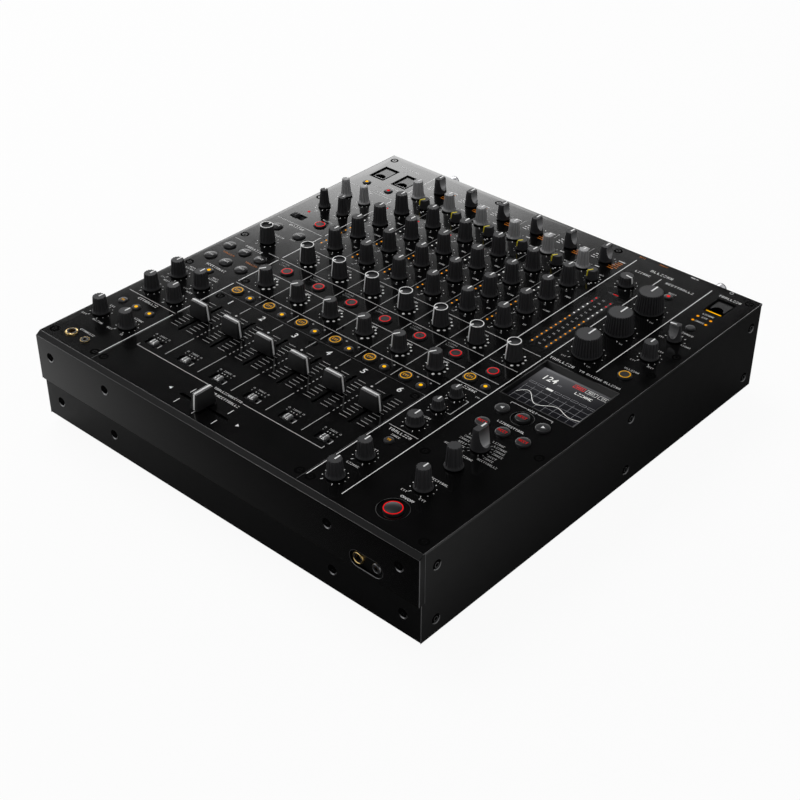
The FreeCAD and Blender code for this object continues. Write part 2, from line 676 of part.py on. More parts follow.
def panel_holes():
    cutters = [through(x, y, BUSH_R + HOLE_GAP) for _, _, x, y, _ in all_knobs()]
    for places, radius, _ in BUTTON_GROUPS.values():
        cutters += [through(x, y, radius + HOLE_GAP) for x, y in places]
    for nut_r, (x, y) in zip((BIG_NUT_R, SMALL_NUT_R), PHONES_TOP):
        cutters.append(through(x, y, nut_r - JACK_SHOULDER))
    for x, y, width, _ in USB_BAYS:
        cutters.append(centred(x, y, width, USB_D, UNDER - PANEL_T, TOP + PANEL_T))
    length = METER_PITCH * METER_LAMPS
    middle = METER_Y + METER_PITCH * (METER_LAMPS - 1) / 2
    for x in METERS:
        cutters.append(centred(x, middle, METER_W, length, UNDER - PANEL_T, TOP + PANEL_T))
    cutters += [through(x, y, LAMP_R) for x, y in LAMPS]
    cutters.append(centred(CLIP[0], CLIP[1], CLIP_W, CLIP_D, UNDER - PANEL_T, TOP + PANEL_T))
    cutters.append(centred(FX_X, DISPLAY_Y, DISPLAY_W, DISPLAY_D, UNDER - PANEL_T, TOP + PANEL_T))
    cutters.append(centred(MIC_SWITCH[0], MIC_SWITCH[1], MIC_L, SWITCH_W, UNDER - PANEL_T, TOP + PANEL_T))
    cutters.append(post(FX_X, FX_BUTTONS[1][1], TOP - DISH_DEPTH, TOP + PANEL_T, TAP_DISH_R))
    cutters.append(post(FX_X, FX_ON[0][1], TOP - DISH_DEPTH, TOP + PANEL_T, FX_ON_DISH_R))
    return cutters


def skirt_holes():
    cutters = [screw_hole(Vector(x, FRONT, SKIRT_SCREW_Z), Vector(0, 1, 0), PANEL_T) for x in FRONT_SCREW_X]
    near, far = FRONT - PANEL_T, FRONT + 2 * PANEL_T
    for x in PHONES_FRONT_X:
        cutters.append(rod(Vector(x, near, PHONES_FRONT_Z), Vector(0, 1, 0), far - near, JACK_SLOT_R))
    cutters.append(box(min(PHONES_FRONT_X), max(PHONES_FRONT_X), near, far,
                       PHONES_FRONT_Z - JACK_SLOT_R, PHONES_FRONT_Z + JACK_SLOT_R))
    return cutters


def top_panel():
    opening = box(PLATE_LEFT, PLATE_RIGHT, PLATE_FRONT, PLATE_REAR, UNDER - PANEL_T, TOP + PANEL_T)
    panel = rounded_panel().cut([opening] + panel_holes() + skirt_holes())
    panel = panel.fuse(fader_ledges())
    down = Vector(0, 0, -1)
    cutters = [screw_hole(Vector(x, y, TOP), down, PANEL_T) for x, y in PANEL_SCREWS]
    cutters += [post(x, y, UNDER - PANEL_T, UNDER, SCREW_R + SCREW_FIT) for x, y in PLATE_SCREWS]
    return panel.cut(cutters).removeSplitter()


def fader_plate():
    plate = box(PLATE_LEFT + PLATE_GAP, PLATE_RIGHT - PLATE_GAP, PLATE_FRONT + PLATE_GAP,
                PLATE_REAR - PLATE_GAP, UNDER, TOP)
    cutters = [moved(fader_slot(FADER_TRAVEL), x, FADER_Y, TOP) for x in CHANNEL_X]
    cutters.append(moved(fader_slot(CROSS_TRAVEL), CROSS_X, CROSS_Y, TOP, 90))
    cutters += [centred(x, ASSIGN_Y, ASSIGN_L, SWITCH_W, UNDER - PANEL_T, TOP + PANEL_T) for x in CHANNEL_X]
    cutters += [screw_hole(Vector(x, y, TOP), Vector(0, 0, -1), PANEL_T) for x, y in PLATE_SCREWS]
    return plate.cut(cutters)


def front_jack_holes():
    cutters = []
    for nut_r, x in zip((BIG_NUT_R, SMALL_NUT_R), PHONES_FRONT_X):
        start = Vector(x, FRONT, PHONES_FRONT_Z)
        cutters.append(rod(start, Vector(0, 1, 0), 4 * PANEL_T, nut_r - JACK_SHOULDER))
    return cutters


def bottom_tray():
    side = SIDE_FACE - CASE_T
    rear = REAR - CASE_T
    floor = box(-side, side, TRAY_FRONT, rear, BASE, BASE + CASE_T)
    front = box(-SIDE_FACE, SIDE_FACE, TRAY_FRONT, TRAY_FRONT + CASE_T, BASE, BASE + TRAY_FRONT_H)
    left = box(-side, -side + CASE_T, TRAY_FRONT, rear, BASE, BASE + TRAY_FLANGE_H)
    right = box(side - CASE_T, side, TRAY_FRONT, rear, BASE, BASE + TRAY_FLANGE_H)
    tray = front.fuse([floor, left, right]).removeSplitter()
    bend = edges_at(tray, lambda p: abs(p.y - TRAY_FRONT) < TINY and abs(p.z - BASE) < TINY)
    tray = tray.makeFillet(TRAY_BEND, bend)
    ahead = Vector(0, 1, 0)
    cutters = [screw_hole(Vector(x, TRAY_FRONT, TRAY_SCREW_Z), ahead, CASE_T) for x in TRAY_SCREW_X]
    cutters += [rod(Vector(x, FRONT, SKIRT_SCREW_Z), ahead, 4 * PANEL_T, SCREW_R + SCREW_FIT)
                for x in FRONT_SCREW_X]
    for y in SIDE_SCREW_Y:
        start = Vector(-BODY_W, y, SIDE_SCREW_Z[0])
        cutters.append(rod(start, Vector(1, 0, 0), 2 * BODY_W, SCREW_R + SCREW_FIT))
    return tray.cut(cutters + front_jack_holes())


def side_panels():
    """Side panels, cut to the inside of the panel's front bend."""
    sheet = rounded_panel()
    panels = []
    for sign in (-1, 1):
        inner = sign * (SIDE_FACE - CASE_T)
        outer = sign * SIDE_FACE
        panel = box(min(inner, outer), max(inner, outer), TRAY_FRONT + CASE_T, REAR, BASE, UNDER)
        cutters = [screw_hole(Vector(outer, y, z), Vector(-sign, 0, 0), CASE_T)
                   for y in SIDE_SCREW_Y for z in SIDE_SCREW_Z]
        panels.append(panel.cut(cutters + [sheet]))
    return panels


def rear_panel():
    side = SIDE_FACE - CASE_T
    panel = box(-side, side, REAR - CASE_T, REAR, BASE, UNDER)
    ahead = Vector(0, 1, 0)
    cutters = [rod(Vector(x, REAR - PANEL_T, z), ahead, 2 * PANEL_T, RCA_R + HOLE_GAP) for x, z in RCA_PLACES]
    cutters += [rod(Vector(x, REAR - PANEL_T, XLR_Z), ahead, 2 * PANEL_T, XLR_R + HOLE_GAP) for x in XLR_X]
    cutters += [rod(Vector(x, REAR - PANEL_T, POST_Z), ahead, 2 * PANEL_T, POST_STEM_R + HOLE_GAP)
                for x in POST_X]
    cutters.append(box(INLET_X - INLET_BORE_W / 2 - USB_WALL, INLET_X + INLET_BORE_W / 2 + USB_WALL,
                       REAR - PANEL_T, REAR + 1, INLET_Z - INLET_BORE_H / 2 - USB_WALL,
                       INLET_Z + INLET_BORE_H / 2 + USB_WALL))
    cutters.append(box(ROCKER_X - ROCKER_W / 2 - USB_WALL, ROCKER_X + ROCKER_W / 2 + USB_WALL,
                       REAR - PANEL_T, REAR + 1, INLET_Z - ROCKER_H / 2 - USB_WALL,
                       INLET_Z + ROCKER_H / 2 + USB_WALL))
    return panel.cut(cutters)


# Rear connector places
RCA_PLACES = [(x + dx * RCA_PITCH / 2, BASE + 26.0 + row * RCA_PITCH)
              for x in CHANNEL_X for dx in (-1, 1) for row in range(3)]
XLR_X = [from_right(72.0), from_right(40.0)]
XLR_Z = BASE + 26.0
POST_X = [from_left(70.0), from_right(44.0)]
POST_Z = TOP - POST_DROP
INLET_X = from_left(30.0)
INLET_Z = BASE + 26.0
ROCKER_X = from_left(60.0) - ROCKER_W / 4


def rca(x, z):
    barrel = rod(Vector(x, REAR - CASE_T, z), Vector(0, 1, 0), CASE_T + RCA_REACH, RCA_R)
    body = box(x - RCA_BODY_W / 2, x + RCA_BODY_W / 2, REAR - CASE_T - RCA_BODY_D, REAR - CASE_T,
               z - RCA_BODY_W / 2, z + RCA_BODY_W / 2)
    hole = rod(Vector(x, REAR + RCA_REACH, z), Vector(0, -1, 0), RCA_REACH, RCA_HOLE_R)
    return barrel.fuse(body).cut(hole).removeSplitter()


def xlr(x):
    """Round output socket with three pins."""
    ahead = Vector(0, 1, 0)
    foot = REAR - XLR_BODY_D
    body = rod(Vector(x, foot, XLR_Z), ahead, XLR_BODY_D, XLR_R)
    flange = box(x - XLR_FLANGE / 2, x + XLR_FLANGE / 2, REAR, REAR + XLR_FLANGE_T,
                 XLR_Z - XLR_FLANGE / 2, XLR_Z + XLR_FLANGE / 2)
    mouth = REAR + XLR_FLANGE_T - XLR_DEPTH
    bore = rod(Vector(x, mouth, XLR_Z), ahead, XLR_DEPTH, XLR_BORE_R)
    shell = body.fuse(flange).cut(bore)
    pins = []
    for angle in (90, 210, 330):
        dx = PIN_CIRCLE * math.cos(math.radians(angle))
        dz = PIN_CIRCLE * math.sin(math.radians(angle))
        pins.append(rod(Vector(x + dx, mouth, XLR_Z + dz), ahead, PIN_LENGTH, PIN_R))
    return shell.fuse(pins).removeSplitter()


def ground_post(x):
    ahead = Vector(0, 1, 0)
    stem = rod(Vector(x, REAR - 3 * CASE_T, POST_Z), ahead, 3 * CASE_T, POST_STEM_R)
    return stem.fuse(rod(Vector(x, REAR, POST_Z), ahead, POST_REACH, POST_R)).removeSplitter()


def mains_inlet():
    flange = box(INLET_X - INLET_W / 2, INLET_X + INLET_W / 2, REAR, REAR + XLR_FLANGE_T,
                 INLET_Z - INLET_H / 2, INLET_Z + INLET_H / 2)
    half_w = INLET_BORE_W / 2
    half_h = INLET_BORE_H / 2
    wall = USB_WALL - HOLE_GAP
    body = box(INLET_X - half_w - wall, INLET_X + half_w + wall, REAR - INLET_BODY_D, REAR,
               INLET_Z - half_h - wall, INLET_Z + half_h + wall)
    mouth = REAR + XLR_FLANGE_T - INLET_DEPTH
    bore = box(INLET_X - half_w, INLET_X + half_w, mouth, REAR + INLET_DEPTH,
               INLET_Z - half_h, INLET_Z + half_h)
    blades = []
    for i in (-1, 0, 1):
        x = INLET_X + i * BLADE_PIN_PITCH
        blades.append(box(x - BLADE_PIN_W / 2, x + BLADE_PIN_W / 2, mouth, mouth + BLADE_PIN_LENGTH,
                          INLET_Z + BLADE_PIN_LIFT - BLADE_PIN_H / 2, INLET_Z + BLADE_PIN_LIFT + BLADE_PIN_H / 2))
    return body.fuse(flange).cut(bore).fuse(blades).removeSplitter()


def rocker_frame():
    """Frame of the power switch with two bearing holes for the rocker's axle."""
    wall = USB_WALL - HOLE_GAP
    half_w = ROCKER_W / 2
    half_h = ROCKER_H / 2
    frame = box(ROCKER_X - half_w - wall, ROCKER_X + half_w + wall, REAR - INLET_BODY_D, REAR,
                INLET_Z - half_h - wall, INLET_Z + half_h + wall)
    rim = 2 * USB_WALL
    frame = frame.fuse(box(ROCKER_X - half_w - rim, ROCKER_X + half_w + rim, REAR, REAR + KNOB_GAP,
                           INLET_Z - half_h - rim, INLET_Z + half_h + rim))
    bore = box(ROCKER_X - half_w, ROCKER_X + half_w, REAR - INLET_BODY_D + wall, REAR + INLET_BODY_D,
               INLET_Z - half_h, INLET_Z + half_h)
    axle = rod(Vector(ROCKER_X - ROCKER_W, rocker_y(), INLET_Z), Vector(1, 0, 0), 2 * ROCKER_W,
               ROCKER_AXLE_R + SPINDLE_FIT)
    return frame.cut([bore, axle]).removeSplitter()


def rocker_y():
    return REAR - ROCKER_AXLE_DEPTH


def power_switch():
    """Rocker on its axle: a round back and a face of two flats."""
    half = ROCKER_W / 2 - ROCKER_GAP
    centre = rocker_y()
    tilt = math.radians(ROCKER_TILT)
    reach = ROCKER_H / 2
    face = REAR + KNOB_GAP - centre
    tip = face + reach * math.tan(tilt)
    outline = [(-reach, -reach), (reach, -reach), (reach, tip), (0, face), (-reach, tip)]
    turned = [(z * math.cos(tilt) - y * math.sin(tilt), z * math.sin(tilt) + y * math.cos(tilt))
              for z, y in outline]
    points = [Vector(ROCKER_X - half, centre + y, INLET_Z + z) for z, y in turned]
    block = Part.Face(Part.makePolygon(points + points[:1])).extrude(Vector(2 * half, 0, 0))
    start = Vector(ROCKER_X - half, centre, INLET_Z)
    clear = rod(start, Vector(1, 0, 0), 2 * half, ROCKER_H / 2 - ROCKER_GAP)
    wall = USB_WALL - HOLE_GAP
    axle = rod(Vector(ROCKER_X - ROCKER_W / 2 - wall, centre, INLET_Z), Vector(1, 0, 0),
               ROCKER_W + 2 * wall, ROCKER_AXLE_R)
    return block.common(clear).fuse(axle).removeSplitter()


def case_screws():
    down = Vector(0, 0, -1)
    ahead = Vector(0, 1, 0)
    screws = []
    for x, y in PANEL_SCREWS + PLATE_SCREWS:
        screws.append(screw(Vector(x, y, TOP - screw_seat(PANEL_T)), down))
    for x in FRONT_SCREW_X:
        screws.append(screw(Vector(x, FRONT + screw_seat(PANEL_T), SKIRT_SCREW_Z), ahead))
    for x in TRAY_SCREW_X:
        screws.append(screw(Vector(x, TRAY_FRONT + screw_seat(CASE_T), TRAY_SCREW_Z), ahead))
    for sign in (-1, 1):
        for y in SIDE_SCREW_Y:
            for z in SIDE_SCREW_Z:
                face = sign * (SIDE_FACE - screw_seat(CASE_T))
                screws.append(screw(Vector(face, y, z), Vector(-sign, 0, 0)))
    return screws


def rubber_feet():
    foot = lathe([(0, 0), (FOOT_R - 2, 0), (FOOT_R - 1, 1), (FOOT_R, FOOT_H), (0, FOOT_H)])
    return [moved(foot, x, y) for x in (LEFT + FOOT_INSET, RIGHT - FOOT_INSET)
            for y in (FRONT + FOOT_INSET, REAR - FOOT_INSET)]


def board_on_spacers(x0, x1, y0, y1, floor):
    board = box(x0, x1, y0, y1, floor + SPACER_H, floor + SPACER_H + BOARD_T)
    inset = 2 * SPACER_R
    spacers = [post(x, y, floor, floor + SPACER_H, SPACER_R)
               for x in (x0 + inset, x1 - inset) for y in (y0 + inset, y1 - inset)]
    return board.fuse(spacers).removeSplitter()


def circuit_boards():
    """Control board under the panel, clear of the faders, and main board on spacers."""
    inner = BOARD_MARGIN + BOARD_T
    front = from_front(2 * BOARD_MARGIN)
    jack_rear = PHONES_TOP[0][1] + BIG_BODY_R + BOARD_MARGIN
    step = PLATE_REAR + BOARD_T
    outline = [(LEFT + inner, jack_rear), (PLATE_LEFT - BOARD_T, jack_rear), (PLATE_LEFT - BOARD_T, step),
               (PLATE_RIGHT + BOARD_T, step), (PLATE_RIGHT + BOARD_T, front), (RIGHT - inner, front),
               (RIGHT - inner, REAR - inner), (LEFT + inner, REAR - inner)]
    points = [Vector(x, y, BOARD_TOP - BOARD_T) for x, y in outline]
    control = Part.Face(Part.makePolygon(points + points[:1])).extrude(Vector(0, 0, BOARD_T))
    floor = BASE + CASE_T
    x0, x1 = CHANNEL_X[0], CHANNEL_X[-1]
    y0, y1 = PLATE_REAR, HIGH_Y
    return [control, board_on_spacers(x0, x1, y0, y1, floor)]


def power_supply():
    """Supply board on spacers with transformer, heat sink and capacitors."""
    floor = BASE + CASE_T
    x0, y0 = MASTER_X, SEND_Y
    board = board_on_spacers(x0, x0 + SUPPLY_W, y0, y0 + SUPPLY_D, floor)
    face = floor + SPACER_H + BOARD_T
    middle = x0 + SUPPLY_W / 2
    front, rear = y0 + SUPPLY_MARGIN, y0 + SUPPLY_D - SUPPLY_MARGIN
    left, right = x0 + SUPPLY_MARGIN, x0 + SUPPLY_W - SUPPLY_MARGIN
    transformer = box(left, left + COIL_W, front, front + COIL_W, face, face + COIL_H)
    sink = box(right - SINK_T, right, front, front + SINK_L, face, face + SINK_H)
    capacitors = [post(middle + dx, rear - CAPACITOR_R, face, face + CAPACITOR_H, CAPACITOR_R)
                  for dx in (-CAPACITOR_PITCH / 2, CAPACITOR_PITCH / 2)]
    return [board, transformer, sink] + capacitors


def display_screen():
    """Bezel with a sloping rear wall, and the screen module under it."""
    outer_w = DISPLAY_W - 2 * PLATE_GAP
    outer_d = DISPLAY_D - 2 * PLATE_GAP
    face = TOP - DISPLAY_DEPTH
    bezel = centred(FX_X, DISPLAY_Y, outer_w, outer_d, face, TOP)
    x0 = FX_X - outer_w / 2 + DISPLAY_WALL
    x1 = FX_X + outer_w / 2 - DISPLAY_WALL
    y0 = DISPLAY_Y - outer_d / 2 + DISPLAY_WALL
    y1 = DISPLAY_Y + outer_d / 2 - DISPLAY_WALL
    corners = [Vector(x0, y0, face), Vector(x0, y1 - DISPLAY_SLOPE, face),
               Vector(x0, y1, TOP), Vector(x0, y0, TOP)]
    hollow = Part.Face(Part.makePolygon(corners + corners[:1])).extrude(Vector(x1 - x0, 0, 0))
    module = centred(FX_X, DISPLAY_Y, outer_w, outer_d, face - DISPLAY_MODULE_T, face)
    stand = centred(FX_X, DISPLAY_Y, outer_w / 2, outer_d / 2, BOARD_TOP, face - DISPLAY_MODULE_T)
    return [bezel.cut(hollow), module.fuse(stand).removeSplitter()]


def phones_jacks():
    down = Vector(0, 0, -1)
    ahead = Vector(0, 1, 0)
    sizes = [(BIG_JACK_R, BIG_NUT_R, BIG_BODY_R), (SMALL_JACK_R, SMALL_NUT_R, SMALL_BODY_R)]
    jacks = [jack(Vector(x, y, TOP), down, PANEL_T, *size) for (x, y), size in zip(PHONES_TOP, sizes)]
    for x, size in zip(PHONES_FRONT_X, sizes):
        jacks.append(jack(Vector(x, TRAY_FRONT, PHONES_FRONT_Z), ahead, CASE_T, *size))
    return jacks


def rear_connectors():
    solids = [rca(x, z) for x, z in RCA_PLACES]
    solids += [xlr(x) for x in XLR_X]
    solids += [ground_post(x) for x in POST_X]
    return solids + [mains_inlet(), rocker_frame()]


def usb_bays():
    return [moved(solid, x, y, TOP) for x, y, width, lit in USB_BAYS for solid in usb_bay(width, lit)]


def key_switches():
    keys = []
    for places, _, _ in BUTTON_GROUPS.values():
        keys += [centred(x, y, KEY_W, KEY_W, BOARD_TOP, key_top()) for x, y in places]
    keys += [moved(switch_body(ASSIGN_L), x, ASSIGN_Y, TOP) for x in CHANNEL_X]
    return keys + [moved(switch_body(MIC_L), MIC_SWITCH[0], MIC_SWITCH[1], TOP)]


def fader_tracks():
    tracks = [moved(fader_track(FADER_TRAVEL), x, FADER_Y, TOP) for x in CHANNEL_X]
    return tracks + [moved(fader_track(CROSS_TRAVEL), CROSS_X, CROSS_Y, TOP, 90)]


def level_meters():
    """Light bars under the meter windows, lamps and clip lamp, all on the control board."""
    length = METER_PITCH * METER_LAMPS - 2 * PLATE_GAP
    middle = METER_Y + METER_PITCH * (METER_LAMPS - 1) / 2
    bars = [centred(x, middle, METER_W - 2 * PLATE_GAP, length, BOARD_TOP, TOP - PLATE_GAP) for x in METERS]
    bars += [post(x, y, BOARD_TOP, TOP, LAMP_R - PLATE_GAP) for x, y in LAMPS]
    bars.append(centred(CLIP[0], CLIP[1], CLIP_W - 2 * PLATE_GAP, CLIP_D - 2 * PLATE_GAP,
                        BOARD_TOP, TOP - PLATE_GAP))
    return bars


def save_knobs():
    shapes = {kind: knob(kind) for kind in KNOB_KINDS}
    rows = []
    for name, kind, x, y, pointer in all_knobs():
        solids = [moved(solid, x, y, TOP, pointer) for solid in shapes[kind]]
        if name is None:
            rows += solids
        else:
            save(name, solids)
    save("knob_rows", rows)
    save("control_pots", [pot(x, y) for _, _, x, y, _ in all_knobs()])


def save_moving_parts():
    for name, (places, radius, rise) in BUTTON_GROUPS.items():
        save(name, [button(x, y, radius, rise) for x, y in places])
    for i, x in enumerate(CHANNEL_X):
        save("channel_fader_%d" % (i + 1), [moved(solid, x, FADER_Y, TOP) for solid in fader_cap()])
    save("crossfader", [moved(solid, CROSS_X, CROSS_Y, TOP, 90) for solid in fader_cap()])
    save("assign_switches", [moved(switch_cap(), x, ASSIGN_Y, TOP) for x in CHANNEL_X])
    save("mic_switch", [moved(switch_cap(), MIC_SWITCH[0] - MIC_TRAVEL / 2, MIC_SWITCH[1], TOP)])
    save("power_switch", [power_switch()])


def save_case():
    save("top_panel", [top_panel()])
    save("fader_plate", [fader_plate()])
    save("bottom_tray", [bottom_tray()])
    save("side_panels", side_panels())
    save("rear_panel", [rear_panel()])
    save("rubber_feet", rubber_feet())
    save("case_screws", case_screws())


def save_insides():
    save("circuit_boards", circuit_boards())
    save("power_supply", power_supply())
    save("display_screen", display_screen())
    save("phones_jacks", phones_jacks())
    save("rear_connectors", rear_connectors())
    save("usb_bays", usb_bays())
    save("key_switches", key_switches())
    save("fader_tracks", fader_tracks())
    save("level_meters", level_meters())


os.makedirs("parts", exist_ok=True)
save_case()
save_insides()
save_moving_parts()
save_knobs()
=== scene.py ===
# %% [markdown]
# # A club DJ mixer, dressed around its CAD frame
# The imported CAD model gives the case, sockets, screws and every moving body. This lesson loads it as
# a fixed frame, then gives each surface its finish and replaces the plain knobs, buttons and faders
# by modelled ones. Each new piece rides on a CAD body, so it moves when the joint moves.

# %% Load the frame
import math
from collections import namedtuple

import bmesh
import bpy
from mathutils import Matrix, Vector


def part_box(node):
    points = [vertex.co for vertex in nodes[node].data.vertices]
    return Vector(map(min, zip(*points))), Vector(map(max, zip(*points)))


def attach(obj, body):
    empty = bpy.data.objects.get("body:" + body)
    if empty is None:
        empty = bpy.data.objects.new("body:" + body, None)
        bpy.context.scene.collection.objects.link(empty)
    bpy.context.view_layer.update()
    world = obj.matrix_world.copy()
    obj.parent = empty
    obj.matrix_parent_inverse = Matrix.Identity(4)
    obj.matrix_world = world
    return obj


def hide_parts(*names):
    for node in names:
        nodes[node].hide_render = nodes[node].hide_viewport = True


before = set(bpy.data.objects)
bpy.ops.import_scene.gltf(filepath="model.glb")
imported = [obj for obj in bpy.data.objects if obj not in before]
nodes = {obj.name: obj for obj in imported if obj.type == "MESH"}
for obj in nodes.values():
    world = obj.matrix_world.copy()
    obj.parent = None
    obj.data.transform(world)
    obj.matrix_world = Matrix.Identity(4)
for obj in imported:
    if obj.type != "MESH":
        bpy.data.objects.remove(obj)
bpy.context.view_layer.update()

# %% [markdown]
# ## Places
# The panel's layout is easiest to read in millimetres, from the middle of the case, with Y to the
# rear and heights from the panel's face. One matrix then takes a finished mesh to metres in the
# frame, whose origin lies on the table. The face's height is read from the CAD panel.

# %% Units and the panel's columns
MM = 0.001
CASE_Y = -6.0
PANEL_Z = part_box("top_panel")[1].z / MM
TO_FRAME = Matrix.Scale(MM, 4) @ Matrix.Translation((0, CASE_Y, PANEL_Z))
CHANNEL_1_X, CHANNEL_PITCH, CHANNELS = -121.9, 37.6, 6
CHANNEL_X = [CHANNEL_1_X + CHANNEL_PITCH * i for i in range(CHANNELS)]
MASTER_X, BOOTH_X, ISOLATOR_X, FX_X, MULTI_X = 103.7, 103.4, 141.4, 158.2, 181.5
print("panel face", round(PANEL_Z, 2), "mm above the table")

# %% [markdown]
# ## Shader arithmetic
# A finish is easier to read as an expression than as a row of node calls. This class wraps one
# socket: arithmetic on it adds Math nodes, and its one method node() adds every other kind.


# %% The socket class
class Flow:
    """An output socket in a node tree. Without a socket it is a place to start from."""

    def __init__(self, tree, socket=None):
        self.tree = tree
        self.socket = socket

    def node(self, kind, settings=None, links=None, out=0):
        """Adds a node, sets its settings, then gives its sockets values or links."""
        node = self.tree.nodes.new("ShaderNode" + kind)
        for key, value in (settings or {}).items():
            setattr(node, key, value)
        for key, value in (links or {}).items():
            if isinstance(value, Flow):
                value.feed(node.inputs[key])
            else:
                node.inputs[key].default_value = value
        return Flow(self.tree, node.outputs[out])

    def feed(self, target):
        """Links this socket to another node's input."""
        self.tree.links.new(self.socket, target)

    def math(self, operation, first, second=0.0):
        return self.node("Math", {"operation": operation}, {0: first, 1: second})

    def __add__(self, other):
        return self.math("ADD", self, other)

    __radd__ = __add__

    def __sub__(self, other):
        return self.math("SUBTRACT", self, other)

    def __rsub__(self, other):
        return self.math("SUBTRACT", other, self)

    def __mul__(self, other):
        return self.math("MULTIPLY", self, other)

    __rmul__ = __mul__

    def __pow__(self, other):
        return self.math("POWER", self, other)

    def __rpow__(self, other):
        return self.math("POWER", other, self)


print("socket class ready")

# %% [markdown]
# ## Finishes
# Sheet-metal paint, moulded plastic and print differ in colour, gloss and grain. One function writes
# them all: a coarse noise shifts the colour and the gloss a little, as handling and moulding do, and
# a fine noise makes the grain that a Bump node turns into relief. Constants go straight on the
# shader's sockets, so the export keeps them.

# %% A finish from grain and gloss
BROAD_SCALE = 45.0
GLOSS_SWING = 0.3
BUMP_STRENGTH = 0.5


def finish(name, colour, roughness, grain=1.2, relief=0.02, shift=0.12, **shader):
    """grain: size of the fine relief in mm; relief: its depth in mm; shift: share of colour change."""
    material = bpy.data.materials.new(name)
    material.use_nodes = True
    material.diffuse_color = (*colour, 1)
    body = material.node_tree.nodes["Principled BSDF"]
    start = Flow(material.node_tree)
    place = start.node("TexCoord", out=3)
    broad = start.node("TexNoise", None, {"Vector": place, "Scale": BROAD_SCALE, "Detail": 3.0})
    fine = start.node("TexNoise", None, {"Vector": place, "Scale": 1 / (grain * MM), "Detail": 2.0})
    pale = (*[min(1, c * (1 + shift)) for c in colour], 1)
    deep = (*[c * (1 - shift) for c in colour], 1)
    tone = start.node("Mix", {"data_type": "RGBA"}, {0: 0.5 * broad + 0.5 * fine, 6: deep, 7: pale}, 2)
    tone.feed(body.inputs["Base Color"])
    gloss = roughness + (broad - 0.5) * (GLOSS_SWING * roughness)
    gloss.feed(body.inputs["Roughness"])
    bump = start.node("Bump", None, {"Height": fine, "Strength": BUMP_STRENGTH, "Distance": relief * MM})
    bump.feed(body.inputs["Normal"])
    for key, value in shader.items():
        body.inputs[key.replace("_", " ")].default_value = value
    return material


print("finish maker ready")

# %% [markdown]
# The case is black paint in several glosses. Paint that has to stay black beside a white table gets a very low
# colour, and where it should hardly shine, a low index of refraction. Only the panel keeps a strong gloss. The
# fold, the edge beads and the corner lines get paler blacks and a pale grey: painted light, for the light that
# catches on slopes and edges. The shadow gap is painted shade, a near black for wells, bays and gaps.

# %% Paint
PANEL = finish("satin_black_panel", (0.0018, 0.0018, 0.0019), 0.125, grain=0.5, relief=0.002, IOR=1.62)
CASE = finish("powder_black_case", (0.0042, 0.0042, 0.0044), 0.38, grain=0.45, relief=0.012, IOR=1.33)
FOLD = finish("matt_fold_painted_light", (0.0095, 0.0095, 0.0098), 0.5, grain=0.45, relief=0.008, IOR=1.25)
GLEAM = finish("pale_painted_highlight", (0.135, 0.135, 0.138), 0.35, grain=0.45, relief=0.005, IOR=1.5)
EDGE = finish("pale_black_edge", (0.03, 0.03, 0.031), 0.3, grain=0.5, relief=0.006, IOR=1.6)
GAP = finish("shadow_gap", (0.002, 0.002, 0.002), 0.9, grain=0.5, relief=0.004, IOR=1.05)
print("paints", len(bpy.data.materials))

# %% [markdown]
# Knobs and keys are moulded plastic with a fine grain. Screws, socket shells and the scooped faces of the
# selectors are metal, so their colour tints what they mirror. A picture could give the grain too, but noise
# needs no file and fits a piece of any shape.

# %% Plastic and metal
KNOB = finish("soft_black_knob", (0.03, 0.03, 0.0318), 0.46, grain=0.35, relief=0.01, IOR=1.21)
GREY_KNOB = finish("soft_grey_knob", (0.27, 0.27, 0.275), 0.5, grain=0.35, relief=0.01)
BUTTON = finish("moulded_button", (0.012, 0.012, 0.013), 0.3, grain=0.4, relief=0.004, IOR=1.28)
BUTTON_TOP = finish("button_top", (0.016, 0.016, 0.017), 0.28, grain=0.4, relief=0.003, IOR=1.24)
CAP = finish("fader_cap", (0.009, 0.009, 0.0095), 0.42, grain=0.35, relief=0.008, IOR=1.28)
# A pale grey for the fader cap's rails: painted highlights on its top edges.
CAP_RAIL_HIGHLIGHT = finish("fader_cap_rail_highlight", (0.2, 0.2, 0.205), 0.3, grain=0.35, relief=0.006)
RUBBER = finish("foot_rubber", (0.02, 0.02, 0.02), 0.75, grain=0.8, relief=0.03)
LID = finish("bay_lid", (0.012, 0.012, 0.0125), 0.2, grain=0.4, relief=0.003, IOR=1.46)
SOCKET = finish("socket_plastic", (0.014, 0.014, 0.015), 0.45, grain=0.4, relief=0.008)
BAY = finish("bay_plastic", (0.006, 0.006, 0.0063), 0.3, grain=0.4, relief=0.006, IOR=1.38)
BOARD = finish("green_board", (0.01, 0.09, 0.035), 0.35, grain=0.9, relief=0.01)
LENS = finish("dark_lens", (0.02, 0.02, 0.022), 0.2, grain=0.6, relief=0.003)
SATIN = finish("satin_scoop", (0.28, 0.28, 0.285), 0.34, grain=0.5, relief=0.004, Metallic=1.0)
PALE = finish("bright_lever", (0.3, 0.3, 0.3), 0.28, grain=0.35, relief=0.004, Metallic=0.7)
STEEL = finish("plain_steel", (0.52, 0.52, 0.54), 0.32, grain=0.6, relief=0.004, Metallic=1.0)
BLACK_STEEL = finish("black_screw", (0.03, 0.03, 0.032), 0.25, grain=0.5, relief=0.006, Metallic=0.7)
# Real metal on the small nuts, and a painted highlight on the bright lips of the screw cups and the front slot.
CUP = finish("screw_cup", (0.2, 0.2, 0.205), 0.3, grain=0.5, relief=0.004, Metallic=0.9)
GOLD = finish("gold_plate", (0.86, 0.62, 0.26), 0.22, grain=0.7, relief=0.004, Metallic=1.0)
ALUMINIUM = finish("supply_aluminium", (0.6, 0.6, 0.62), 0.4, grain=0.8, relief=0.01, Metallic=1.0)
print("with plastics and metals", len(bpy.data.materials))

# %% [markdown]
# Print is ink with hardly any relief. A lamp could be a light of its own, but at this size a surface that
# glows is enough, and it goes into the export. It has no gloss, which would make its colour pale.


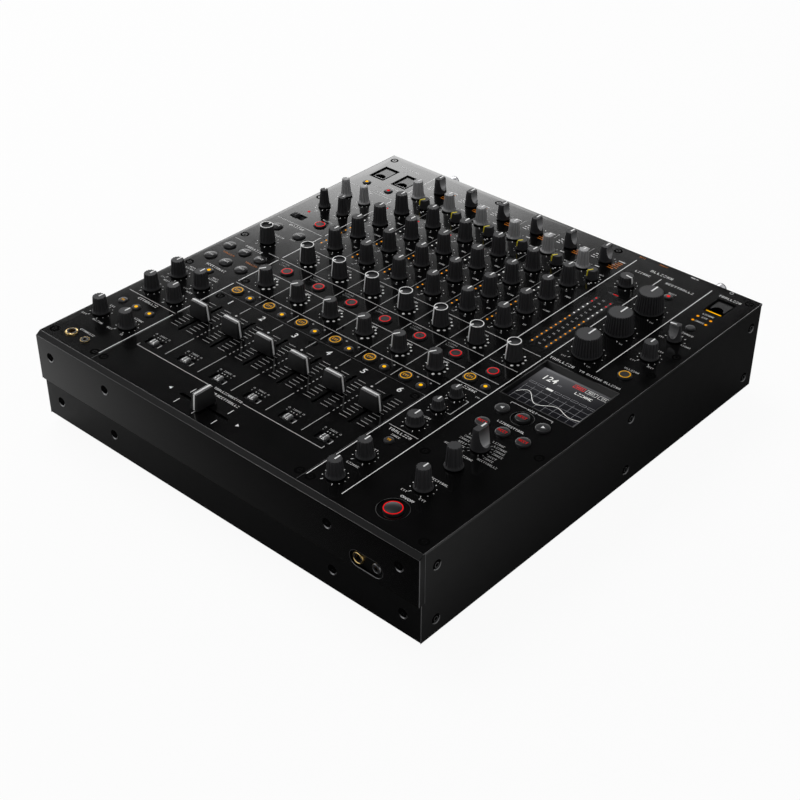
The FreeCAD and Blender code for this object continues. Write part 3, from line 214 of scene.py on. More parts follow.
# %% Print and lamps
def ink(name, colour, roughness=0.45, **shader):
    return finish(name, colour, roughness, grain=0.3, relief=0.004, **shader)


def lamp(name, colour, glow):
    """A lit lens: glow is the strength of its own light."""
    return finish(name, colour, 0.4, grain=0.6, shift=0.08, Specular_IOR_Level=0.0,
                  Emission_Color=(*colour, 1), Emission_Strength=glow)


WHITE = ink("white_print", (0.78, 0.78, 0.78), shift=0.05)
MID = ink("pale_print", (0.5, 0.5, 0.5), shift=0.05)
DIM = ink("grey_print", (0.27, 0.27, 0.27), shift=0.05)
ORANGE_PRINT = ink("orange_print", (0.6, 0.17, 0.01), Specular_IOR_Level=0.1)
YELLOW_LINE = ink("yellow_line", (0.7, 0.58, 0.01), 0.4, Specular_IOR_Level=0.1)
YELLOW = lamp("yellow_lamp", (0.66, 0.33, 0.002), 0.4)
ORANGE = lamp("orange_lamp", (0.92, 0.34, 0.002), 0.4)
RED = lamp("red_lamp", (0.72, 0.006, 0.008), 0.4)
DARK_RED = lamp("red_legend", (0.55, 0.008, 0.01), 0.25)
LIT_WHITE = lamp("white_lamp", (0.8, 0.8, 0.78), 0.3)
KEY_LAMP = lamp("key_lamp", (0.95, 0.46, 0.002), 0.5)
print("with inks and lamps", len(bpy.data.materials))

# %% [markdown]
# ## The CAD pieces that stay
# Case, boards, screws and sockets already have their true shapes. Their meshes are loose triangles, so
# a Weld modifier joins them and an Edge Split keeps the sharp folds while round walls shade smoothly.

# %% Dress the CAD nodes
WELD = 0.002 * MM
SHARP_FOLD = math.radians(28)
# The data bays take the shadow gap: painted shade, a near black for their deep insides.
CAD_FINISH = {
    "top_panel": PANEL, "fader_plate": PANEL, "bottom_tray": CASE, "side_panels": CASE,
    "rear_panel": CASE, "rubber_feet": RUBBER, "case_screws": BLACK_STEEL, "circuit_boards": BOARD,
    "power_supply": ALUMINIUM, "display_screen": BAY, "phones_jacks": GOLD,
    "rear_connectors": SOCKET, "usb_bays": GAP, "key_switches": SOCKET, "fader_tracks": SOCKET,
    "level_meters": LENS, "control_pots": STEEL, "power_switch": SOCKET,
}
for name, material in CAD_FINISH.items():
    mesh = nodes[name].data
    mesh.materials.clear()
    mesh.materials.append(material)
    mesh.polygons.foreach_set("use_smooth", [True] * len(mesh.polygons))
    weld = nodes[name].modifiers.new("weld", "WELD")
    weld.merge_threshold = WELD
    split = nodes[name].modifiers.new("split", "EDGE_SPLIT")
    split.split_angle = SHARP_FOLD
print("dressed", len(CAD_FINISH), "CAD nodes")

# %% [markdown]
# ## Building pieces
# Nearly every small part of a mixer is turned or milled, or looks as if it were. So two makers do for most of
# it: a lathe that spins an outline, of which a ring is the plainest case, and a block with bevelled edges.


# %% Makers
def lathe(outline, steps):
    """Spins (radius, height) points about Z into a closed shape."""
    shape = bmesh.new()
    verts = [shape.verts.new((radius, 0, height)) for radius, height in outline]
    edges = [shape.edges.new(pair) for pair in zip(verts, verts[1:])]
    bmesh.ops.spin(shape, geom=verts + edges, cent=(0, 0, 0), axis=(0, 0, 1),
                   angle=2 * math.pi, steps=steps, use_merge=True)
    bmesh.ops.remove_doubles(shape, verts=shape.verts, dist=1e-4)
    bmesh.ops.recalc_face_normals(shape, faces=shape.faces)
    return shape


def ring(outer, inner, low, high, steps=40):
    """A flat ring between two heights."""
    return lathe([(inner, low), (outer, low), (outer, high), (inner, high), (inner, low)], steps)


def block(width, depth, low, high, edge=0.0, top=(1, 1)):
    """A block on Z, with its top face scaled and its edges bevelled."""
    shape = bmesh.new()
    bmesh.ops.create_cube(shape, size=1)
    bmesh.ops.scale(shape, vec=(width, depth, high - low), verts=shape.verts)
    bmesh.ops.translate(shape, vec=(0, 0, (low + high) / 2), verts=shape.verts)
    upper = [v for v in shape.verts if v.co.z > (low + high) / 2]
    bmesh.ops.scale(shape, vec=(*top, 1), verts=upper)
    if edge:
        bmesh.ops.bevel(shape, geom=shape.edges[:], offset=edge, offset_type="OFFSET", segments=2,
                        profile=0.5, affect="EDGES", material=-1)
    return shape


print("makers ready")

# %% [markdown]
# A piece collects such shapes, each with its finish, and becomes a single object at the end. Its place goes
# into its mesh, so the object itself stays at the origin, as a CAD node does. Then it is tied to the body
# that carries it.

# %% The piece class
SMOOTH_UNDER = math.radians(33)


def show(name, data):
    """An object for a mesh, a curve, a lamp or a camera, in the scene."""
    made = bpy.data.objects.new(name, data)
    bpy.context.scene.collection.objects.link(made)
    return made


class Piece:
    """Shapes in millimetres on the panel's layout that become one object on a body.

    A shape takes one finish, or a tuple of them, which its faces choose from by their material index.
    """

    def __init__(self, name, *finishes):
        self.name = name
        self.finishes = finishes
        self.shape = bmesh.new()

    def take(self, shape, material, x=0.0, y=0.0, z=0.0, turn=0.0):
        """Adds a copy of a shape, turned clockwise seen from above, then moved."""
        mesh = bpy.data.meshes.new("shape")
        shape.to_mesh(mesh)
        self.take_mesh(mesh, material, x, y, z, turn)

    def take_mesh(self, mesh, material, x=0.0, y=0.0, z=0.0, turn=0.0):
        """Adds a mesh in the same way, and uses it up."""
        mesh.transform(Matrix.Translation((x, y, z)) @ Matrix.Rotation(math.radians(-turn), 4, "Z"))
        parts = material if isinstance(material, tuple) else (material,)
        slots = [self.finishes.index(part) for part in parts]
        chosen = [slots[min(face.material_index, len(slots) - 1)] for face in mesh.polygons]
        mesh.polygons.foreach_set("material_index", chosen)
        self.shape.from_mesh(mesh)
        bpy.data.meshes.remove(mesh)

    def place(self, body, slot, *replaced):
        """Makes the object, tied to its body, in place of the CAD nodes that it replaces."""
        for edge in self.shape.edges:
            edge.smooth = edge.calc_face_angle(0.0) < SMOOTH_UNDER
        for face in self.shape.faces:
            face.smooth = True
        mesh = bpy.data.meshes.new(self.name)
        for material in self.finishes:
            mesh.materials.append(material)
        self.shape.to_mesh(mesh)
        self.shape.free()
        mesh.transform(TO_FRAME)
        piece = show(self.name, mesh)
        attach(piece, body)
        if replaced:
            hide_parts(*replaced)


print("pieces can be made")

# %% [markdown]
# ## Knobs
# Most knobs are a round skirt under a tapered, fluted grip. The outline is spun with six columns to a flute,
# and the middle three of them are pushed in to make the groove, so no boolean is needed.

# %% Knob shapes
Knob = namedtuple("Knob", "height skirt_r body_r top_r flutes")
BLADE = -1
KNOB_KINDS = {
    "eq": Knob(19.0, 7.3, 6.3, 5.3, 12), "trim": Knob(16.5, 6.6, 5.3, 4.4, 12),
    "comp": Knob(9.3, 5.2, 5.0, 4.4, 0), "send": Knob(16.9, 7.05, 7.0, 5.7, 14),
    "filter": Knob(15.7, 7.3, 6.4, 5.5, 12), "plain": Knob(15.2, 7.3, 6.3, 5.5, 14),
    "short": Knob(9.2, 7.3, 6.5, 6.1, 14), "small": Knob(8.8, 5.7, 4.8, 4.3, 10),
    "mic": Knob(17.3, 5.8, 4.6, 3.5, 10), "isolator": Knob(18.4, 12.0, 11.8, 10.3, 30),
    "input_selector": Knob(15.3, 6.0, 5.6, 5.0, BLADE), "selector": Knob(15.3, 5.9, 5.4, 4.8, BLADE),
    "fx_selector": Knob(19.3, 7.3, 6.9, 6.2, BLADE),
}
KNOB_GAP, KNOB_FOOT = 0.8, 1.7
BODY_FOOT = KNOB_FOOT + 2.4
FLARE = ((0.0, 0.0), (0.3, 0.35), (0.6, 0.9), (0.85, 1.6))
TOP_EDGE = 0.45
BODY_STEPS = 4
RECESS = 1.4
FEWEST_FLUTES, COLUMNS = 12, 6
GROOVE = {2: 0.3, 3: 0.55, 4: 0.3}
PLAIN_GROOVE, DEEP_GROOVE = 1.1, 2.0


def grip(kind):
    """Skirt, flare and grip of a knob, with grooves if it has flutes."""
    height, skirt_r, body_r, top_r, flutes = KNOB_KINDS[kind]
    outline = [(0, KNOB_GAP), (skirt_r - 0.4, KNOB_GAP), (skirt_r, KNOB_GAP + 0.35)]
    outline += [(skirt_r - (skirt_r - body_r) * share, KNOB_FOOT + rise) for share, rise in FLARE]
    body_h = height - TOP_EDGE - BODY_FOOT
    for share in [step / BODY_STEPS for step in range(BODY_STEPS + 1)]:
        outline.append((body_r + (top_r - body_r) * share, BODY_FOOT + body_h * share))
    outline += [(top_r - 0.1, height - 0.2), (top_r - 0.35, height)]
    if kind == "send":
        outline += [(top_r - 0.9, height), (top_r - 1.0, height - RECESS), (0, height - RECESS)]
    else:
        outline.append((0, height))
    steps = max(flutes, FEWEST_FLUTES) * COLUMNS
    shape = lathe(outline, steps)
    depth = DEEP_GROOVE if kind == "isolator" else PLAIN_GROOVE
    for vert in shape.verts if flutes > 0 else ():
        column = round(math.atan2(vert.co.y, vert.co.x) / (2 * math.pi) * steps) % COLUMNS
        radius = vert.co.xy.length
        if column in GROOVE and vert.co.z > KNOB_FOOT + 0.8 and radius > top_r - 0.5:
            keep = 1 - GROOVE[column] * depth / radius
            bmesh.ops.scale(shape, vec=(keep, keep, 1), verts=[vert])
    return shape


print("kinds of knob", len(KNOB_KINDS))

# %% [markdown]
# A selector is a blade, so that a thumb and a finger can turn it step by step. The spun body is cut by two
# lying cylinders with a Boolean modifier, as a mill would scoop it. The faces of the cut lie on the
# cylinders, which is how they are found again and given their satin metal.

# %% Selector blades
BLADE_W = 5.6
SCOOP_FOOT, SCOOP_ABOVE = 4.0, 0.6
ON_SCOOP = 0.02


def final_mesh(made):
    """A new mesh of an object as its modifiers or its curve settings leave it."""
    graph = bpy.context.evaluated_depsgraph_get()
    return bpy.data.meshes.new_from_object(made.evaluated_get(graph))


def scooped(kind):
    """The blade of a selector: a spun body less two cylinders along Y, whose cuts have index 1."""
    knob = KNOB_KINDS[kind]
    axis_z, bite = knob.height + SCOOP_ABOVE, knob.body_r - BLADE_W / 2
    radius = ((axis_z - SCOOP_FOOT) ** 2 + bite ** 2) / (2 * bite)
    axis_x = BLADE_W / 2 + radius
    cutter = bmesh.new()
    for side in (-1, 1):
        place = Matrix.Translation((side * axis_x, 0, axis_z))
        bmesh.ops.create_cone(cutter, cap_ends=True, segments=160, radius1=radius, radius2=radius,
                              depth=6 * knob.skirt_r, matrix=place @ Matrix.Rotation(math.pi / 2, 4, "X"))
    objects = []
    for name, shape in (("blade", grip(kind)), ("scoop", cutter)):
        mesh = bpy.data.meshes.new(name)
        shape.to_mesh(mesh)
        shape.free()
        objects.append(show(name, mesh))
    cut = objects[0].modifiers.new("scoop", "BOOLEAN")
    cut.operation = "DIFFERENCE"
    cut.solver = "EXACT"
    cut.object = objects[1]
    mesh = final_mesh(objects[0])
    result = bmesh.new()
    result.from_mesh(mesh)
    for face in result.faces:
        reach = [math.hypot(abs(v.co.x) - axis_x, v.co.z - axis_z) for v in face.verts]
        face.material_index = int(max(reach) < radius + ON_SCOOP)
    for made in objects:
        used = made.data
        bpy.data.objects.remove(made)
        bpy.data.meshes.remove(used)
    bpy.data.meshes.remove(mesh)
    return result


GRIPS = {kind: scooped(kind) if knob.flutes == BLADE else grip(kind) for kind, knob in KNOB_KINDS.items()}
print({kind: len(shape.faces) for kind, shape in GRIPS.items()})

# %% [markdown]
# A pointer is a bar set into the top. On the compressor, filter and master level knobs it folds over the rim
# and runs down the side, and send knobs have a white band round the rim as well. On a selector the bar runs
# from the middle to the blade's end. Bars of their own keep a sharp edge, which a painted mark would lose.


# %% Knob marks
def top_bar(length, width, height, near):
    """A bar on a knob's top from the radius near outwards, pointing to the rear."""
    bar = block(width, length, height - 0.1, height + 0.06, 0.05)
    bmesh.ops.translate(bar, vec=(0, near + length / 2, 0), verts=bar.verts)
    return bar


def side_bar(kind, width):
    """A bar down the slope of a knob's side, pointing to the rear."""
    knob = KNOB_KINDS[kind]
    foot = KNOB_FOOT if kind == "send" else BODY_FOOT - 0.3
    rise, lean = knob.height - TOP_EDGE - foot, knob.body_r - knob.top_r
    bar = block(width, 0.5, 0, math.hypot(rise, lean), 0.05)
    bmesh.ops.rotate(bar, matrix=Matrix.Rotation(math.atan2(lean, rise), 3, "X"), verts=bar.verts)
    bmesh.ops.translate(bar, vec=(0, knob.body_r - 0.02, foot), verts=bar.verts)
    return bar


def knob_marks(kind, down_side):
    """The bars and bands of a kind of knob; down_side runs a plain pointer down the side too."""
    height, top_r = KNOB_KINDS[kind].height, KNOB_KINDS[kind].top_r
    if "selector" in kind:
        return [top_bar(5.4, 1.5, height, top_r - 5.6)]
    if kind == "send":
        band = ring(top_r + 0.03, top_r - 0.65, height - 0.4, height + 0.05, 56)
        return [band, top_bar(2.2, 1.6, height, top_r - 2.9), side_bar(kind, 1.8)]
    if kind in ("comp", "filter") or down_side:
        return [top_bar(top_r + 0.4, 1.3, height, -0.6), side_bar(kind, 1.5)]
    if kind == "isolator":
        return [top_bar(9.4, 1.4, height, 0.2)]
    if kind == "mic":
        return [top_bar(2.6, 1.1, height, top_r - 2.5)]
    length = min(6.2, top_r)
    return [top_bar(length, 1.25, height, top_r - 0.3 - length)]


def add_knob(piece, kind, material, x, y, turn, down_side=False, marked=True):
    """Adds a knob and its marks to a piece."""
    piece.take(GRIPS[kind], (material, SATIN) if "selector" in kind else material, x, y, 0, turn)
    mark = YELLOW_LINE if kind == "comp" else WHITE
    for shape in knob_marks(kind, down_side) if marked else ():
        piece.take(shape, mark, x, y, 0, turn)
        shape.free()


print("marks ready")

# %% [markdown]
# The six channel strips are alike, so one list of knobs serves them all. The sections beside them have knobs
# with names of their own. Angles are clockwise from the rear: a knob at its lowest points to the front left.

# %% Knob places
LOWEST = -150
EQ_Y = (132.3, 103.35, 74.35, 45.4)
SELECTOR_AT, TRIM_AT, COMP_AT = (0.9, 185.0), (-8.4, 164.6), (10.2, 152.5)
SEND_Y, FILTER_Y = 11.7, -38.1
STRIP = [
    ("selector", "input_selector", *SELECTOR_AT, 0), ("trim", "trim", *TRIM_AT, 0),
    ("comp", "comp", *COMP_AT, LOWEST), ("hi", "eq", 0, EQ_Y[0], 0), ("hi_mid", "eq", 0, EQ_Y[1], 0),
    ("low_mid", "eq", 0, EQ_Y[2], 0), ("low", "eq", 0, EQ_Y[3], 0),
    ("send", "send", 0, SEND_Y, LOWEST), ("filter", "filter", 0, FILTER_Y, LOWEST),
]
ISOLATOR_Y = (142.4, 99.6, 56.5)
MASTER_Y, BOOTH_Y, BOOTH_EQ_Y, PHONES_B_Y = 163.6, -104.0, (-57.3, -78.2), (-157.5, -188.4)
MULTI_SELECT_Y, MULTI_LEVEL_Y = 118.5, 84.2
FX_SELECT_Y, FX_TIME_Y, FX_DEPTH_Y = -95.5, -124.6, -157.3
PHONES_A_X, PHONES_A_Y = (-189.4, -156.5), -160.0
RESONANCE_AT = (-173.0, 12.8)
SINGLE = [
    ("master_level", "short", MASTER_X, MASTER_Y, 100),
    ("isolator_hi", "isolator", ISOLATOR_X, ISOLATOR_Y[0], 0),
    ("isolator_mid", "isolator", ISOLATOR_X, ISOLATOR_Y[1], 0),
    ("isolator_low", "isolator", ISOLATOR_X, ISOLATOR_Y[2], 0),
    ("multi_select", "selector", MULTI_X, MULTI_SELECT_Y, -100),
    ("multi_level", "plain", MULTI_X, MULTI_LEVEL_Y, 0),
    ("booth_hi", "small", BOOTH_X, BOOTH_EQ_Y[0], 0), ("booth_low", "small", BOOTH_X, BOOTH_EQ_Y[1], 0),
    ("booth_level", "short", BOOTH_X, BOOTH_Y, 0), ("phones_b_mix", "plain", BOOTH_X, PHONES_B_Y[0], 0),
    ("phones_b_level", "plain", BOOTH_X, PHONES_B_Y[1], 0), ("fx_select", "fx_selector", FX_X, FX_SELECT_Y, 0),
    ("fx_time", "eq", FX_X, FX_TIME_Y, 0), ("fx_depth", "eq", FX_X, FX_DEPTH_Y, 0),
    ("phones_a_mix", "plain", PHONES_A_X[0], PHONES_A_Y, 0),
    ("phones_a_level", "plain", PHONES_A_X[1], PHONES_A_Y, 0), ("filter_resonance", "send", *RESONANCE_AT, 0),
]
MIC_AT = [(x, y) for y in (122.5, 93.7) for x in (-182.0, -159.3)]
SEND_FX_AT = [(x, y) for y in (-78.1, -107.7) for x in (-187.1, -158.4)]
ROWS = [("mic", GREY_KNOB if y > 100 else KNOB, x, y, 0) for x, y in MIC_AT]
ROWS += [("plain", KNOB, x, y, 0) for x, y in SEND_FX_AT] + [("send", KNOB, MASTER_X, SEND_Y, LOWEST)]
print("knobs", len(SINGLE) + len(STRIP) * CHANNELS + len(ROWS))

# %% [markdown]
# Each knob with a joint is a piece of its own. The others share one piece, as they share one CAD node.

# %% Turn the knobs out
for name, kind, x, y, turn in SINGLE:
    piece = Piece(name + "_knob", KNOB, WHITE, SATIN)
    add_knob(piece, kind, KNOB, x, y, turn, down_side=name == "master_level", marked=name != "fx_time")
    piece.place(name, "knob", name)
for part, kind, dx, y, turn in STRIP:
    name = "channel_1_" + part
    material = GREY_KNOB if kind == "trim" else KNOB
    piece = Piece(name + "_knob", material, YELLOW_LINE if kind == "comp" else WHITE, SATIN)
    add_knob(piece, kind, material, CHANNEL_X[0] + dx, y, turn)
    piece.place(name, "grey_knob" if kind == "trim" else "knob", name)

knob_rows = Piece("knob_rows_caps", KNOB, GREY_KNOB, WHITE, YELLOW_LINE, SATIN)
for x in CHANNEL_X[1:]:
    for _, kind, dx, y, turn in STRIP:
        add_knob(knob_rows, kind, GREY_KNOB if kind == "trim" else KNOB, x + dx, y, turn)
for kind, material, x, y, turn in ROWS:
    add_knob(knob_rows, kind, material, x, y, turn)
knob_rows.place("chassis", "knob", "knob_rows")
print("knobs that turn", len(SINGLE) + len(STRIP))

# %% [markdown]
# ## Faders and switches
# A fader cap is a tapered block with a ridge along the top. The ridge and a line down each end are white, so
# the setting reads from any side. Two pale grey rails beside the ridge are painted highlights on the cap's top
# edges. Scaling the block's top face gives the taper, and each mark is a block of its own with its own finish.
# The crossfader cap is the same cap turned a quarter.

# %% Fader caps
CAP_LOW, CAP_HIGH = 1.2, 15.4
CAP_L, CAP_D = 19.2, 8.4
TOP_L, TOP_D = 16.6, 5.2
RIDGE_L = TOP_L - 0.4
LEVER_FOOT = -10.0


def fader_cap(name, x, y, turn):
    """A cap with its ridge, rails, end lines and lever."""
    cap = Piece(name + "_cap", CAP, CAP_RAIL_HIGHLIGHT, WHITE)
    body = block(CAP_L, CAP_D, CAP_LOW, CAP_HIGH - 0.7, 0.5, (TOP_L / CAP_L, TOP_D / CAP_D))
    cap.take(body, CAP, x, y, 0, turn)
    cap.take(block(RIDGE_L, 1.4, CAP_HIGH - 0.8, CAP_HIGH, 0.1), WHITE, x, y, 0, turn)
    # The rails are pale grey, painted highlights on the cap's top edges.
    for side in (-1, 1):
        rail = block(RIDGE_L, 0.5, CAP_HIGH - 1.0, CAP_HIGH - 0.3, 0.12)
        bmesh.ops.translate(rail, vec=(0, side * (TOP_D / 2 - 0.75), 0), verts=rail.verts)
        cap.take(rail, CAP_RAIL_HIGHLIGHT, x, y, 0, turn)
    cap.take(block(1.7, 3.2, LEVER_FOOT, CAP_LOW + 1.0), CAP, x, y, 0, turn)
    rise, lean = CAP_HIGH - 0.9 - CAP_LOW, (CAP_L - TOP_L) / 2
    for half_turn in (0, 180):
        stripe = block(0.5, 1.5, 0, math.hypot(rise, lean) - 0.4, 0.05)
        bmesh.ops.rotate(stripe, matrix=Matrix.Rotation(-math.atan2(lean, rise), 3, "Y"), verts=stripe.verts)
        bmesh.ops.translate(stripe, vec=(CAP_L / 2 - 0.05, 0, CAP_LOW + 0.4), verts=stripe.verts)
        cap.take(stripe, WHITE, x, y, 0, turn + half_turn)
    return cap


FADER_Y = -111.5
CROSS_X, CROSS_Y = -27.9, -193.4
for i, x in enumerate(CHANNEL_X):
    name = "channel_fader_%d" % (i + 1)
    fader_cap(name, x, FADER_Y, 0).place(name, "knob", name)
fader_cap("crossfader", CROSS_X, CROSS_Y, 90).place("crossfader", "knob", "crossfader")
print("fader caps", CHANNELS + 1)

# %% [markdown]
# Slide switches sit in a dark well: a small lever with two ribs on its top, pale on the assign switches and
# dark on the microphone switch. One function makes both, from four blocks.

# %% Slide switches
ASSIGN_Y = -161.2
MIC_SWITCH_AT = (-189.0, 64.0)
RIB_X = 1.35


def switch_lever(piece, material, x, y):
    """A lever with its stem and two tapered ribs."""
    piece.take(block(5.4, 6.4, -1.7, 0.8, 0.2), material, x, y)
    piece.take(block(3.0, 1.6, -6.0, -1.5), material, x, y)
    for dx in (-RIB_X, RIB_X):
        piece.take(block(2.1, 6.2, 0.5, 1.7, 0.6, (0.8, 0.96)), material, x + dx, y)


levers = Piece("assign_levers", PALE)
for x in CHANNEL_X:
    switch_lever(levers, PALE, x, ASSIGN_Y)
levers.place("assign_switches", "pale", "assign_switches")
mic_lever = Piece("mic_lever", KNOB)
switch_lever(mic_lever, KNOB, *MIC_SWITCH_AT)
mic_lever.place("mic_switch", "knob", "mic_switch")
print("switch levers", CHANNELS + 1)

# %% [markdown]
# ## Buttons
# Round keys stand just proud of the panel, with a softly rounded rim. Cue and effect keys have a lit ring set
# into the top, and the small keys have a lens in the middle. All are spun, each from its own outline.

# %% Button shapes
KEY_R, SMALL_KEY_R, BIG_KEY_R = 5.75, 4.0, 7.4
KEY_RISE, SMALL_RISE, KEY_FOOT = 1.5, 1.15, -3.0
DOME = 0.4
DISC_R, LENS_R = 3.95, 1.5


def key(radius, rise, dome=0.0):
    """A key with a rounded rim, whose middle stands the dome's height above the rim."""
    return lathe([(0, KEY_FOOT), (radius, KEY_FOOT), (radius, rise - 0.8), (radius - 0.12, rise - 0.4),
                  (radius - 0.4, rise - 0.14), (radius - 0.85, rise), (radius * 0.6, rise + dome * 0.55),
                  (radius * 0.3, rise + dome * 0.9), (0, rise + dome)], 48)


keys = {"plain": key(KEY_R, KEY_RISE), "small": key(SMALL_KEY_R, SMALL_RISE),
        "domed": key(KEY_R, KEY_RISE - 0.1, DOME), "big": key(BIG_KEY_R, KEY_RISE)}
top_disc = lathe([(0, KEY_RISE - 0.2), (DISC_R, KEY_RISE - 0.2), (DISC_R, KEY_RISE + 0.02),
                  (0, KEY_RISE + 0.02)], 36)
lit_ring = ring(4.65, DISC_R, KEY_RISE - 0.3, KEY_RISE + 0.06, 48)
rim = lathe([(5.0, 0.9), (5.25, KEY_RISE - 0.02), (5.5, KEY_RISE - 0.16), (5.3, 0.9), (5.0, 0.9)], 48)
key_lens = lathe([(0, SMALL_RISE - 0.2), (LENS_R, SMALL_RISE - 0.2), (LENS_R, SMALL_RISE + 0.1),
                  (0, SMALL_RISE + 0.2)], 20)
print("key faces", {name: len(shape.faces) for name, shape in keys.items()})

# %% [markdown]
# Keys and panel carry legends. Here a legend is a row of signs that spell nothing: each sign is two or three
# strokes on a unit square, drawn as thin blocks. A sign too small to read is one plain block.

# %% Signs
PRINT_H = 0.05
STEM, FAR_STEM, MIDDLE_STEM = (0, 0, 0, 1), (1, 0, 1, 1), (0.5, 0, 0.5, 1)
FOOT, HEAD, BELT = (0, 0, 1, 0), (0, 1, 1, 1), (0, 0.5, 1, 0.5)
SIGNS = ((STEM, FOOT), (STEM, HEAD, FAR_STEM), (MIDDLE_STEM, HEAD), (STEM, HEAD, FOOT),
         (STEM, BELT, FAR_STEM), (HEAD, FOOT))
WHOLE = (0, 0, 1, 1)
STROKE, READABLE = 0.18, 1.4


def sign(piece, material, x, y, width, height, kind, z=0.0, thick=PRINT_H):
    """One sign about (x, y); any whole number is a kind."""
    small = height < READABLE
    stroke = 0.0 if small else min(STROKE * height, 0.5 * width)
    for x0, y0, x1, y1 in (WHOLE,) if small else SIGNS[kind % len(SIGNS)]:
        wide, deep = (x1 - x0) * (width - stroke) + stroke, (y1 - y0) * (height - stroke) + stroke
        bar = block(wide, deep, 0, thick)
        piece.take(bar, material, x + ((x0 + x1) / 2 - 0.5) * (width - stroke),
                   y + ((y0 + y1) / 2 - 0.5) * (height - stroke), z)
        bar.free()


def sign_kind(i, count):
    """Which sign stands at place i of a row of count signs."""
    return i * 5 + i // 2 + count


def legend(piece, material, words, x, y, height=1.5, z=0.0, letter=0.9, gap=0.45, thick=PRINT_H):
    """A row of signs about (x, y); words gives the number of signs in each group."""
    width = sum(n * (letter + gap) - gap for n in words) + (len(words) - 1) * letter
    along = x - width / 2
    for n in words:
        for i in range(n):
            sign(piece, material, along + letter / 2, y, letter, height, sign_kind(i, n), z, thick)
            along += letter + gap
        along += letter


print("kinds of sign", len(SIGNS))

# %% [markdown]
# Cue keys glow yellow and the effect keys of the channels red. The ring and the disc inside it lie a hair
# above the key, so that no two faces share a plane.

# %% Cue and ring keys
CUE_AT = [(x - 8.5, -62.9) for x in CHANNEL_X] + [(95.3, -31.4)]
RING_AT = [(x, -13.6) for x in CHANNEL_X + [MASTER_X]] + [(-159.3, 64.6), (MULTI_X, 50.7)]


def ring_key(piece, x, y, lit):
    """A key with a lit ring about a disc."""
    piece.take(keys["plain"], BUTTON, x, y)
    piece.take(lit_ring, lit, x, y)
    piece.take(top_disc, BUTTON_TOP, x, y)


cue_keys = Piece("cue_keys", BUTTON, BUTTON_TOP, YELLOW)
for x, y in CUE_AT:
    ring_key(cue_keys, x, y, YELLOW)
    legend(cue_keys, YELLOW, (3,), x, y, 2.2, KEY_RISE + 0.02, 1.35)
cue_keys.place("cue_buttons", "button", "cue_buttons")
ring_keys = Piece("ring_keys", BUTTON, BUTTON_TOP, RED, YELLOW)
for x, y in RING_AT:
    ring_key(ring_keys, x, y, YELLOW if x == MULTI_X else RED)
ring_keys.place("ring_buttons", "button", "ring_buttons")
print("ring keys", len(CUE_AT) + len(RING_AT))

# %% [markdown]
# Small keys switch one thing on or off, and most have a lens that shows it. Two carry a short lit legend
# instead, and one is plain. They share one spun shape, which is copied to a list of places.

# %% Small keys
LENS_KEYS = [(x + 8.5, -65.0, KEY_LAMP) for x in CHANNEL_X]
LENS_KEYS += [(112.2, -33.4, KEY_LAMP), (ISOLATOR_X, 170.5, RED), (-173.2, -136.4, KEY_LAMP)]
LENS_KEYS += [(-156.7, -136.4, KEY_LAMP), (-173.2, -56.2, KEY_LAMP), (-185.6, 154.5, KEY_LAMP)]
LENS_KEYS += [(-158.3, 154.5, RED)]
LEGEND_KEYS = [(BOOTH_X, -132.5), (-190.0, -136.4)]
MODE_KEY = (MULTI_X, 142.0)
small_keys = Piece("small_keys", BUTTON, YELLOW, RED, KEY_LAMP)
for x, y, lit in LENS_KEYS:
    small_keys.take(keys["small"], BUTTON, x, y)
    small_keys.take(key_lens, lit, x, y)
for x, y in LEGEND_KEYS:
    small_keys.take(keys["small"], BUTTON, x, y)
    legend(small_keys, YELLOW, (2,), x, y, 2.0, SMALL_RISE + 0.03, 1.3, 0.5)
small_keys.take(keys["small"], BUTTON, *MODE_KEY)
small_keys.place("led_buttons", "button", "led_buttons")
print("small keys", len(LENS_KEYS) + len(LEGEND_KEYS) + 1)

# %% [markdown]
# The keys of the send effects and the filter are unlit, with a slight dome and a printed legend. The dome
# comes from the spun outline, so nothing has to be bulged afterwards.

# %% Round keys
DOMED_AT = [(-173.0 + dx, y) for y in (-14.5, -37.0) for dx in (-19.15, 0, 19.15)]
DOMED_AT += [(-186.6, 37.3), (-158.6, 37.3)]
round_keys = Piece("round_keys", BUTTON_TOP, WHITE)
for x, y in DOMED_AT:
    round_keys.take(keys["domed"], BUTTON_TOP, x, y)
    legend(round_keys, WHITE, (5,), x, y, 1.7, KEY_RISE, 1.0, 0.45, 0.32)
round_keys.place("round_buttons", "button", "round_buttons")
print("round keys", len(DOMED_AT))

# %% [markdown]
# The beat effects have six keys under the screen, two of them with arrows, and one large key with a red ring
# that switches the effect. Its face is a shallow dome inside the ring.

# %% Effect keys
FX_KEY_ROWS, FX_KEY_PITCH = (-46.5, -69.8), 19.0
FX_KEY_AT = [(FX_X + dx, y) for y in FX_KEY_ROWS for dx in (-FX_KEY_PITCH, 0, FX_KEY_PITCH)]
FX_ON_Y = -188.6


def arrow(piece, material, x, y, z, turn, radius=1.9):
    """A small triangle that points to the right before it is turned."""
    shape = bmesh.new()
    place = Matrix.Translation((0, 0, PRINT_H / 2)) @ Matrix.Rotation(-math.pi / 2, 4, "Z")
    bmesh.ops.create_cone(shape, cap_ends=True, segments=3, radius1=radius, radius2=radius, depth=PRINT_H,
                          matrix=place)
    piece.take(shape, material, x, y, z, turn)
    shape.free()


